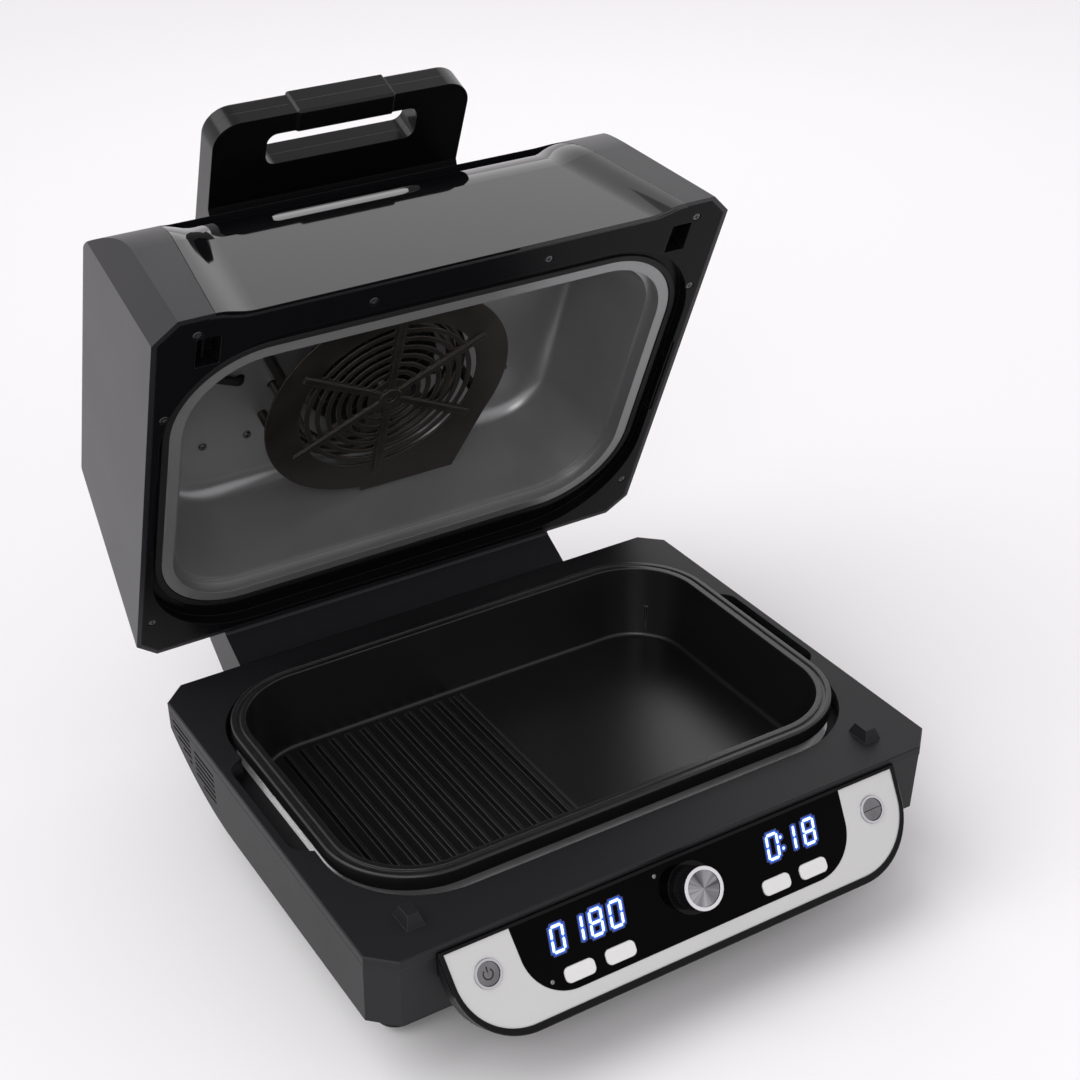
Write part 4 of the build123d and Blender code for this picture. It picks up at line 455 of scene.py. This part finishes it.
GUARD = Finish("heat_stained", (0.042, 0.038, 0.034), 0.37, metallic=0.8, scale=500.0, relief=0.00004,
               variation=0.7, patch=45.0, painted_edge_shading=(0.24, 0.225, 0.2), painted_edge_shading_amount=0.6)
DARK_METAL = Finish("dark_metal", (0.035, 0.034, 0.033), 0.35, metallic=0.7, scale=700.0, variation=0.3,
                    painted_edge_shading=(0.15, 0.15, 0.15))
SCREW = Finish("black_zinc", (0.1, 0.1, 0.105), 0.23, metallic=0.9, scale=600.0, variation=0.2,
               edge_radius=0.0003, painted_edge_shading=(0.3, 0.3, 0.3), painted_edge_shading_amount=0.5)
WIRE = Finish("heating_wire", (0.1, 0.092, 0.084), 0.35, metallic=0.9, scale=1500.0, variation=0.5,
              patch=90.0)
SILVER = Finish("satin_silver", (0.58, 0.585, 0.58), 0.36, metallic=0.35, pattern=Pattern.BRUSHED,
                scale=1800.0, relief=0.000003, variation=0.04, painted_edge_shading=(0.85, 0.85, 0.85))
CHROME = Finish("bright_plate", (0.52, 0.52, 0.54), 0.07, metallic=1.0, scale=400.0, relief=0.000003,
                variation=0.15, edge_radius=0.0004, painted_edge_shading=(0.12, 0.12, 0.125), painted_edge_shading_amount=0.75)
KNOB = Finish("knob_plate", (0.72, 0.72, 0.74), 0.14, scale=400.0, relief=0.000003, variation=0.1,
              painted_edge_shading=(0.2, 0.2, 0.2), painted_edge_shading_amount=0.3, specular=0.3, side_colour=(0.006, 0.006, 0.007))
STEEL = Finish("bare_steel", (0.85, 0.85, 0.85), 0.34, metallic=0.8, pattern=Pattern.BRUSHED, scale=1500.0,
               relief=0.000006, painted_edge_shading=(0.8, 0.8, 0.8))
BUTTON = Finish("dished_grey", (0.17, 0.17, 0.175), 0.18, metallic=0.8, scale=700.0, relief=0.000004,
                variation=0.5, patch=120.0)
# The knob's inlay: its low colour paints dark rays between lighter ones, a painted reflection of the turned
# face.
INLAY = Finish("knob_grey", (0.36, 0.36, 0.37), 0.2, metallic=0.8, pattern=Pattern.TURNED, scale=7.0,
               relief=0.00002, variation=0.2, patch=120.0, painted_edge_shading_amount=0.0, low_painted_reflection=(0.075, 0.075, 0.08))
PILL = Finish("pale_key", (0.7, 0.7, 0.69), 0.4, scale=1500.0, relief=0.00001, variation=0.05,
              painted_edge_shading=(0.85, 0.85, 0.85))
RUBBER = Finish("soft_black", (0.006, 0.006, 0.006), 0.6, scale=1400.0, relief=0.00003, painted_edge_shading_amount=0.1,
                specular=0.25)
BOARD = Finish("board_green", (0.02, 0.09, 0.04), 0.4, scale=700.0)
BRASS = Finish("bearing_brass", (0.5, 0.36, 0.15), 0.3, metallic=1.0)
LIT_WHITE = Glow("lit_digits", (0.66, 0.84, 1.0), 2.6)
LIT_BLUE = Glow("lit_halo", (0.0, 0.13, 0.95), 1.0)
LIT_HAZE = Glow("lit_haze", (0.0, 0.03, 0.3), 0.55)
LAMP_OFF = Finish("lamp_off", (0.12, 0.12, 0.13), 0.15, scale=900.0, coat=1.0)

DRESS: dict[Finish, tuple[str, ...]] = {
    BLACK: ("base_deck", "base_shell", "bottom_cover", "panel_housing", "display_modules", "lid_switch"),
    CHEEK: ("lid_shell", "hinge_arm"),
    FRAME_BLACK: ("lid_frame", "latch_keepers"),
    GLOSS: ("gloss_panel",),
    SCREEN: ("display_glass",),
    BEZEL: ("panel_bezel", "knob_collar"),
    HANDLE: ("handle_body", "handle_cover"),
    NONSTICK: ("grill_pan",),
    LINER: ("lid_liner",),
    GUARD: ("heater_guard",),
    DARK_METAL: ("lower_heater", "hinge_brackets", "handle_bolts", "fan_motor", "motor_bracket",
                 "fan_impeller"),
    SCREW: ("frame_screws", "liner_screws"),
    WIRE: ("lid_heater",),
    SILVER: ("panel_plate",),
    CHROME: ("button_rings",),
    KNOB: ("selector_knob",),
    STEEL: ("heat_bowl", "heater_clips", "temperature_probe", "encoder", "hinge_pins", "friction_washers",
            "fan_shaft"),
    BUTTON: ("power_button", "start_button"),
    PILL: ("pill_button_1", "pill_button_2", "pill_button_3", "pill_button_4"),
    RUBBER: ("rubber_feet", "cord_gland", "lid_seal", "heater_lead"),
    BOARD: ("control_board", "power_board"),
    BRASS: ("hinge_bushes",),
}


class Wardrobe:
    """Makes each finish's material once and hands it out."""

    def __init__(self) -> None:
        """Build the shared groups."""
        self.effects = Effects()
        self.made: dict[str, bpy.types.Material] = {}

    def get(self, finish: Finish | Glow) -> bpy.types.Material:
        """The material of a finish.

        Args:
            finish: The finish wanted.

        Returns:
            Its material, made on first use.
        """
        if finish.name not in self.made:
            self.made[finish.name] = finish.build(self.effects)
        return self.made[finish.name]

    def dress_nodes(self) -> int:
        """Give every CAD node its finish.

        Returns:
            The number of nodes dressed.
        """
        count = 0
        for finish, names in DRESS.items():
            for name in names:
                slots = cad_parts[name].material_slots
                if not slots:
                    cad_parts[name].data.materials.append(self.get(finish))
                for place in slots:
                    place.link = "OBJECT"
                    place.material = self.get(finish)
                count += 1
        return count


def add_piece(name: str, points: list[Vector], faces: list[tuple[int, ...]], material: bpy.types.Material,
              body: str, smooth: bool = False) -> bpy.types.Object:
    """A mesh piece that rides on a body.

    Args:
        name: The piece's name.
        points: Its points in the row frame.
        faces: Its faces, as places in the points.
        material: Its material.
        body: The body that it rides on.
        smooth: Whether its faces are shaded smooth.

    Returns:
        The piece.
    """
    mesh = bpy.data.meshes.new(name)
    mesh.from_pydata([tuple(point) for point in points], [], faces)
    mesh.validate()
    mesh.polygons.foreach_set("use_smooth", [smooth] * len(mesh.polygons))
    mesh.materials.append(material)
    piece = bpy.data.objects.new(name, mesh)
    bpy.context.scene.collection.objects.link(piece)
    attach(piece, body)
    return piece


def ring_faces(first: int, rings: int, around: int) -> list[tuple[int, ...]]:
    """The faces between neighbouring closed rings of points.

    Args:
        first: Place of the first ring's first point.
        rings: Number of rings.
        around: Points in each ring.

    Returns:
        The faces, ring by ring.
    """
    faces: list[tuple[int, ...]] = []
    for ring in range(rings - 1):
        base = first + ring * around
        for index in range(around):
            after = (index + 1) % around
            faces.append((base + index, base + after, base + around + after, base + around + index))
    return faces


@dataclass
class ControlPanel:
    """The lit digits, lamps and marks on the control panel."""

    wardrobe: Wardrobe
    digit_height: float = 0.017
    digit_width: float = 0.0096
    stroke: float = 0.0016
    gap: float = 0.0004
    slant: float = 0.14
    level: float = -0.00022
    thickness: float = 0.00005
    digit_lift: float = 0.00002
    rank_step: float = 0.000002
    on_middle: float = 0.000001
    dot_share: float = 0.55
    dot_sides: int = 10
    dot_rise: float = 0.22
    fringe: float = 0.0008
    haze: float = 0.0017
    left_places: tuple[float, ...] = (-0.0976, -0.0839, -0.0697, -0.0552)
    left_digits: str = "0180"
    right_places: tuple[float, ...] = (0.0661, 0.0797, 0.0955)
    right_digits: str = "018"
    colon_place: float = 0.0734
    digit_down: float = 0.0195
    lamps: tuple[tuple[float, float], ...] = ((-0.1095, 0.043), (-0.0224, 0.0075))
    lamp_radius: float = 0.0014
    lamp_rise: float = 0.00056
    button_across: float = 0.1474
    button_down: float = 0.0227
    button_radius: float = 0.00735
    button_dish: float = 0.0009
    dish_curve: float = 6.0
    mark_lift: float = 0.00004
    mark_radius: float = 0.0032
    mark_drop: float = 0.0003
    mark_turns: tuple[int, int, int] = (38, 323, 6)
    mark_width: float = 0.0009
    bar_ends: tuple[float, float] = (0.0008, 0.0044)
    divider_half: float = 0.0068
    divider_width: float = 0.0006
    knob_down: float = KNOB_DOWN
    knob_face: float = 0.01635
    knob_radius: float = 0.0115
    knob_dome: float = 0.0003

    SEGMENTS = {"0": "abcdef", "1": "bc", "8": "abcdefg"}

    def _segment(self, key: str) -> list[tuple[float, float]]:
        """The outline of one of the seven segments, about the digit's middle.

        Args:
            key: The segment's letter, a to g.

        Returns:
            Points as across and up.
        """
        half, wide, bar = self.digit_height / 2, self.digit_width / 2, self.stroke / 2
        level = {"a": half - bar, "g": 0.0, "d": bar - half}
        if key in level:
            z, end = level[key], wide - bar - self.gap
            return [(-end, z), (bar - end, z + bar), (end - bar, z + bar), (end, z), (end - bar, z - bar),
                    (bar - end, z - bar)]
        x = (wide - bar) * (1 if key in "bc" else -1)
        low, high = (self.gap, half - bar - self.gap) if key in "bf" else (bar + self.gap - half, -self.gap)
        return [(x, low), (x - bar, low + bar), (x - bar, high - bar), (x, high), (x + bar, high - bar),
                (x + bar, low + bar)]

    def _plate(self, outline: list[tuple[float, float]], across: float, down: float, base: float,
               points: list[Vector], faces: list[tuple[int, ...]]) -> None:
        """Add a thin plate of an outline to a mesh on the panel.

        Args:
            outline: Points as across and up, about the plate's middle.
            across: Where its middle is across the panel.
            down: Where its middle is down the panel.
            base: Height of its underside above the panel's face.
            points: The mesh's points, added to.
            faces: The mesh's faces, added to.
        """
        start, size = len(points), len(outline)
        for out in (base, base + self.thickness):
            for x, up in outline:
                points.append(on_panel(across + x + up * self.slant, down - up, out))
        faces.append(tuple(start + size + index for index in range(size)))
        faces.append(tuple(start + index for index in reversed(range(size))))
        for index in range(size):
            after = (index + 1) % size
            faces.append((start + index, start + after, start + size + after, start + size + index))

    def _grown(self, outline: list[tuple[float, float]], amount: float) -> list[tuple[float, float]]:
        """An outline with its points moved away from its middle.

        Args:
            outline: Points as across and up.
            amount: How far each point moves.

        Returns:
            The grown outline.
        """
        def moved(value: float, middle: float) -> float:
            """A coordinate moved away from the middle, unless it is on it."""
            away = value - middle
            return value + (math.copysign(amount, away) if abs(away) > self.on_middle else 0.0)

        mid_x = sum(x for x, _ in outline) / len(outline)
        mid_up = sum(up for _, up in outline) / len(outline)
        return [(moved(x, mid_x), moved(up, mid_up)) for x, up in outline]

    def _show(self, name: str, grow: float, base: float, finish: Glow) -> None:
        """Build all lit segments and the colon's dots as one piece.

        Args:
            name: The piece's name.
            grow: How far each outline is grown.
            base: Height of the underside above the panel's face.
            finish: The lit finish.
        """
        shown = [*zip(self.left_places, self.left_digits), *zip(self.right_places, self.right_digits)]
        points: list[Vector] = []
        faces: list[tuple[int, ...]] = []
        for across, digit in shown:
            for rank, key in enumerate(self.SEGMENTS[digit]):
                lift = base + (rank * self.rank_step if grow else 0.0)
                outline = self._grown(self._segment(key), grow)
                self._plate(outline, across, self.digit_down, lift, points, faces)
        size = self.stroke * self.dot_share + grow
        turns = [turn * 2 * math.pi / self.dot_sides for turn in range(self.dot_sides)]
        dot = [(size * math.cos(turn), size * math.sin(turn)) for turn in turns]
        for rise in (-self.dot_rise, self.dot_rise):
            down = self.digit_down + rise * self.digit_height
            self._plate(dot, self.colon_place, down, base, points, faces)
        add_piece(name, points, faces, self.wardrobe.get(finish), "base")

    def digits(self) -> None:
        """Build the lit digits of both displays, with the blue fringe and the faint haze under them."""
        self._show("lit_haze", self.haze, self.level - 2 * self.thickness, LIT_HAZE)
        self._show("lit_fringe", self.fringe, self.level - self.thickness, LIT_BLUE)
        self._show("lit_digits", 0.0, self.level + self.digit_lift, LIT_WHITE)

    def lamp_domes(self) -> None:
        """Build the small unlit lamps as low domes on the glass."""
        rings, around, radius = 4, 20, self.lamp_radius
        points: list[Vector] = []
        faces: list[tuple[int, ...]] = []
        for across, down in self.lamps:
            start = len(points)
            for ring in range(rings):
                lift = ring / rings * math.pi / 2
                for index in range(around):
                    turn = 2 * math.pi * index / around
                    reach = radius * math.cos(lift)
                    points.append(on_panel(across + reach * math.cos(turn), down + reach * math.sin(turn),
                                           self.level + self.lamp_rise * math.sin(lift)))
            points.append(on_panel(across, down, self.level + self.lamp_rise))
            for ring in range(rings - 1):
                for index in range(around):
                    after = (index + 1) % around
                    base = start + ring * around
                    faces.append((base + after, base + index, base + around + index, base + around + after))
            last = start + (rings - 1) * around
            for index in range(around):
                faces.append((last + (index + 1) % around, last + index, len(points) - 1))
        add_piece("panel_lamps", points, faces, self.wardrobe.get(LAMP_OFF), "base",
                  smooth=True)

    def _dish_level(self, reach: float) -> float:
        """Height of a round button's dished face at a distance from its middle."""
        sphere = self.dish_curve * self.button_radius
        return sphere - self.button_dish - math.sqrt(sphere ** 2 - reach ** 2) + self.mark_lift

    def _strip(self, line: list[tuple[float, float]], width: float, side: int,
               points: list[Vector], faces: list[tuple[int, ...]]) -> None:
        """Add a ribbon that follows a line on a round button's dish.

        Args:
            line: Points of its middle as across and up.
            width: The ribbon's width.
            side: -1 for the left button, 1 for the right one.
            points: The mesh's points, added to.
            faces: The mesh's faces, added to.
        """
        start = len(points)
        for index, (x, up) in enumerate(line):
            near = line[max(index - 1, 0)]
            far = line[min(index + 1, len(line) - 1)]
            run = Vector((far[0] - near[0], far[1] - near[1])).normalized()
            for edge in (-0.5, 0.5):
                px, pup = x - run.y * width * edge, up + run.x * width * edge
                points.append(on_panel(side * self.button_across + px, self.button_down - pup,
                                       self._dish_level(math.hypot(px, pup))))
        for index in range(len(line) - 1):
            base = start + 2 * index
            faces.append((base, base + 2, base + 3, base + 1))

    def marks(self) -> None:
        """Build the ring-and-bar mark of the power key and the dividing line of the other key."""
        points: list[Vector] = []
        faces: list[tuple[int, ...]] = []
        radius, drop = self.mark_radius, self.mark_drop
        arc = [(radius * math.sin(math.radians(turn)), radius * math.cos(math.radians(turn)) - drop)
               for turn in range(*self.mark_turns)]
        low, high = self.bar_ends
        bar = [(0.0, low + (high - low) * step / 8) for step in range(9)]
        self._strip(arc, self.mark_width, -1, points, faces)
        self._strip(bar, self.mark_width, -1, points, faces)
        add_piece("power_mark", points, faces, self.wardrobe.get(GLOSS), "power_key")
        points, faces = [], []
        line = [(self.divider_half * (step / 8 - 1), 0.0) for step in range(17)]
        self._strip(line, self.divider_width, 1, points, faces)
        add_piece("divider_mark", points, faces, self.wardrobe.get(GLOSS), "start_key")

    def knob_inlay(self) -> None:
        """Build the knob's slightly domed grey inlay inside its bright rim."""
        rings, around = 8, 64
        points: list[Vector] = [on_panel(0.0, self.knob_down, self.knob_face + self.knob_dome)]
        faces: list[tuple[int, ...]] = []
        for ring in range(1, rings + 1):
            reach = self.knob_radius * ring / rings
            for index in range(around):
                turn = 2 * math.pi * index / around
                points.append(on_panel(reach * math.cos(turn), self.knob_down + reach * math.sin(turn),
                                       self.knob_face + self.knob_dome * (1 - ring / rings)))
        for index in range(around):
            faces.append((0, 1 + (index + 1) % around, 1 + index))
        faces += ring_faces(1, rings, around)
        add_piece("knob_inlay", points, faces, self.wardrobe.get(INLAY), "knob", smooth=True)

    def build(self) -> None:
        """Build every piece of the panel."""
        self.digits()
        self.lamp_domes()
        self.marks()
        self.knob_inlay()


@dataclass
class UpperElement:
    """The wire wound on the upper element, seen through the guard's slots."""

    wardrobe: Wardrobe
    fan_y: float = 0.0189
    level: float = 0.075
    inner: float = 0.060
    growth: float = 0.0042
    half_turns: int = 4
    coil: float = 0.0035
    wire: float = 0.00045
    pitch: float = 0.0017
    steps: int = 10
    sides: int = 5

    def _core(self, along: float) -> tuple[Vector, Vector]:
        """A point of the element's middle line and its sideways direction, with the lid closed.

        Args:
            along: Distance along the line.

        Returns:
            The point and the unit vector from its arc's centre.
        """
        start, sense = -self.inner, 1
        for index in range(self.half_turns):
            radius = self.inner + index * self.growth
            centre = start + sense * radius
            if along <= math.pi * radius or index == self.half_turns - 1:
                turn = along / radius
                out = Vector((-sense * math.cos(turn), -sense * math.sin(turn), 0.0))
                return Vector((centre, self.fan_y, self.level)) + out * radius, out
            along -= math.pi * radius
            start += sense * 2 * radius
            sense = -sense
        raise ValueError("the line has no half turns")

    def build(self) -> None:
        """Build the winding as one tube."""
        length = sum(math.pi * (self.inner + index * self.growth) for index in range(self.half_turns))
        count = int(length / self.pitch * self.steps)
        rise = Vector((0.0, 0.0, 1.0))
        line = []
        for index in range(count + 1):
            core, out = self._core(length * index / count)
            turn = 2 * math.pi * index / self.steps
            line.append((core, out, turn))
        points: list[Vector] = []
        for core, out, turn in line:
            ray = out * math.cos(turn) + rise * math.sin(turn)
            along = out.cross(rise)
            for side in range(self.sides):
                angle = 2 * math.pi * side / self.sides
                reach = self.coil + self.wire * math.cos(angle)
                place = core + ray * reach + along * self.wire * math.sin(angle)
                points.append(on_lid(place.x, place.y, place.z))
        faces = ring_faces(0, len(line), self.sides)
        add_piece("heater_winding", points, faces, self.wardrobe.get(WIRE), "lid",
                  smooth=True)


@dataclass
class Studio:
    """The camera, the soft light and the pale floor."""

    camera_at: Point = (-0.5407, -1.0041, 0.8636)
    target: Point = (0.1294, 0.1459, 0.110)
    roll: float = -1.53
    lens: float = 62.28
    ambient: float = 0.66
    overhead: float = 0.5
    sun: float = 1.25
    lamp_aim: Point = (0.0, 0.0, 0.2)
    floor_half: float = 9.0
    floor_cells: int = 12

    def camera(self) -> None:
        """Place the camera at the photograph's angle."""
        data = bpy.data.cameras.new("camera")
        data.lens = self.lens
        data.sensor_width = 36.0
        data.clip_start = 0.05
        camera = bpy.data.objects.new("camera", data)
        bpy.context.scene.collection.objects.link(camera)
        at = Vector(self.camera_at)
        back = (at - Vector(self.target)).normalized()
        right = (-back).cross(Vector((0.0, 0.0, 1.0))).normalized()
        up = back.cross(right)
        turn = math.radians(self.roll)
        across = right * math.cos(turn) + up * math.sin(turn)
        above = up * math.cos(turn) - right * math.sin(turn)
        camera.matrix_world = Matrix((
            (across.x, above.x, back.x, at.x), (across.y, above.y, back.y, at.y),
            (across.z, above.z, back.z, at.z), (0.0, 0.0, 0.0, 1.0)))
        bpy.context.scene.camera = camera

    def lamp(self, name: str, kind: str, at: Point, energy: float, size: float) -> None:
        """Add a soft lamp that looks at the object.

        Args:
            name: The lamp's name.
            kind: SUN or AREA.
            at: Where it stands.
            energy: Its strength.
            size: The sun's angle in radians, or the area's side in metres.
        """
        data = bpy.data.lights.new(name, kind)
        data.energy = energy
        if kind == "SUN":
            data.angle = size
        else:
            data.shape = "SQUARE"
            data.size = size
        lamp = bpy.data.objects.new(name, data)
        lamp.location = at
        lamp.rotation_euler = (Vector(at) - Vector(self.lamp_aim)).to_track_quat("Z", "Y").to_euler()
        bpy.context.scene.collection.objects.link(lamp)

    def surroundings(self) -> None:
        """Build the pale world and the floor."""
        world = bpy.data.worlds.new("studio")
        bpy.context.scene.world = world
        world.use_nodes = True
        nodes, links = world.node_tree.nodes, world.node_tree.links
        path = nodes.new("ShaderNodeLightPath")
        seen = nodes.new("ShaderNodeMath")
        seen.operation = "MAXIMUM"
        clear = nodes.new("ShaderNodeMath")
        clear.operation = "MAXIMUM"
        level = nodes.new("ShaderNodeMapRange")
        level.inputs["To Min"].default_value = self.ambient
        level.inputs["To Max"].default_value = 1.0
        links.new(path.outputs["Is Camera Ray"], seen.inputs[0])
        links.new(path.outputs["Is Glossy Ray"], seen.inputs[1])
        links.new(seen.outputs[0], clear.inputs[0])
        links.new(path.outputs["Is Transmission Ray"], clear.inputs[1])
        links.new(clear.outputs[0], level.inputs["Value"])
        ray = nodes.new("ShaderNodeTexCoord")
        parts = nodes.new("ShaderNodeSeparateXYZ")
        fall = nodes.new("ShaderNodeMapRange")
        fall.inputs["From Min"].default_value = 0.25
        fall.inputs["From Max"].default_value = 0.95
        fall.inputs["To Min"].default_value = 1.0
        fall.inputs["To Max"].default_value = self.overhead
        only = nodes.new("ShaderNodeMapRange")
        only.inputs["To Min"].default_value = 1.0
        total = nodes.new("ShaderNodeMath")
        total.operation = "MULTIPLY"
        links.new(ray.outputs["Generated"], parts.inputs["Vector"])
        links.new(parts.outputs["Z"], fall.inputs["Value"])
        links.new(path.outputs["Is Glossy Ray"], only.inputs["Value"])
        links.new(fall.outputs["Result"], only.inputs["To Max"])
        links.new(level.outputs["Result"], total.inputs[0])
        links.new(only.outputs["Result"], total.inputs[1])
        links.new(total.outputs[0], nodes["Background"].inputs["Strength"])
        nodes["Background"].inputs["Color"].default_value = (1.0, 0.968, 0.995, 1.0)
        half, cells = self.floor_half, self.floor_cells
        grid = [Vector((half * (2 * i / cells - 1), half * (2 * j / cells - 1), 0.0))
                for j in range(cells + 1) for i in range(cells + 1)]
        faces = [(j * (cells + 1) + i, j * (cells + 1) + i + 1, (j + 1) * (cells + 1) + i + 1,
                  (j + 1) * (cells + 1) + i) for j in range(cells) for i in range(cells)]
        mesh = bpy.data.meshes.new("floor")
        mesh.from_pydata([tuple(point) for point in grid], [], faces)
        floor = bpy.data.objects.new("floor", mesh)
        bpy.context.scene.collection.objects.link(floor)
        material = bpy.data.materials.new("pale_floor")
        material.use_nodes = True
        shader = material.node_tree.nodes["Principled BSDF"]
        shader.inputs["Base Color"].default_value = (0.88, 0.875, 0.88, 1.0)
        shader.inputs["Roughness"].default_value = 0.7
        shader.inputs["Specular IOR Level"].default_value = 0.2
        mesh.materials.append(material)

    def build(self) -> None:
        """Set the stage."""
        bpy.context.scene.view_settings.view_transform = "Standard"
        self.camera()
        self.surroundings()
        self.lamp("high_left", "SUN", (-1.2, 0.4, 2.0), self.sun, 0.9)
        self.lamp("rear_right", "AREA", (0.95, 1.5, 1.5), 4.5, 1.3)
        self.lamp("front_left", "AREA", (-0.9, -1.3, 1.1), 7.0, 0.7)


def main() -> None:
    """Build the classes in order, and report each."""
    logging.basicConfig(level=logging.INFO)
    wardrobe = Wardrobe()
    LOG.info("dressed %d nodes", wardrobe.dress_nodes())
    for piece in (Studio(), ControlPanel(wardrobe), UpperElement(wardrobe)):
        piece.build()
        LOG.info("built %s", type(piece).__name__)


if __name__ == "__main__":
    main()
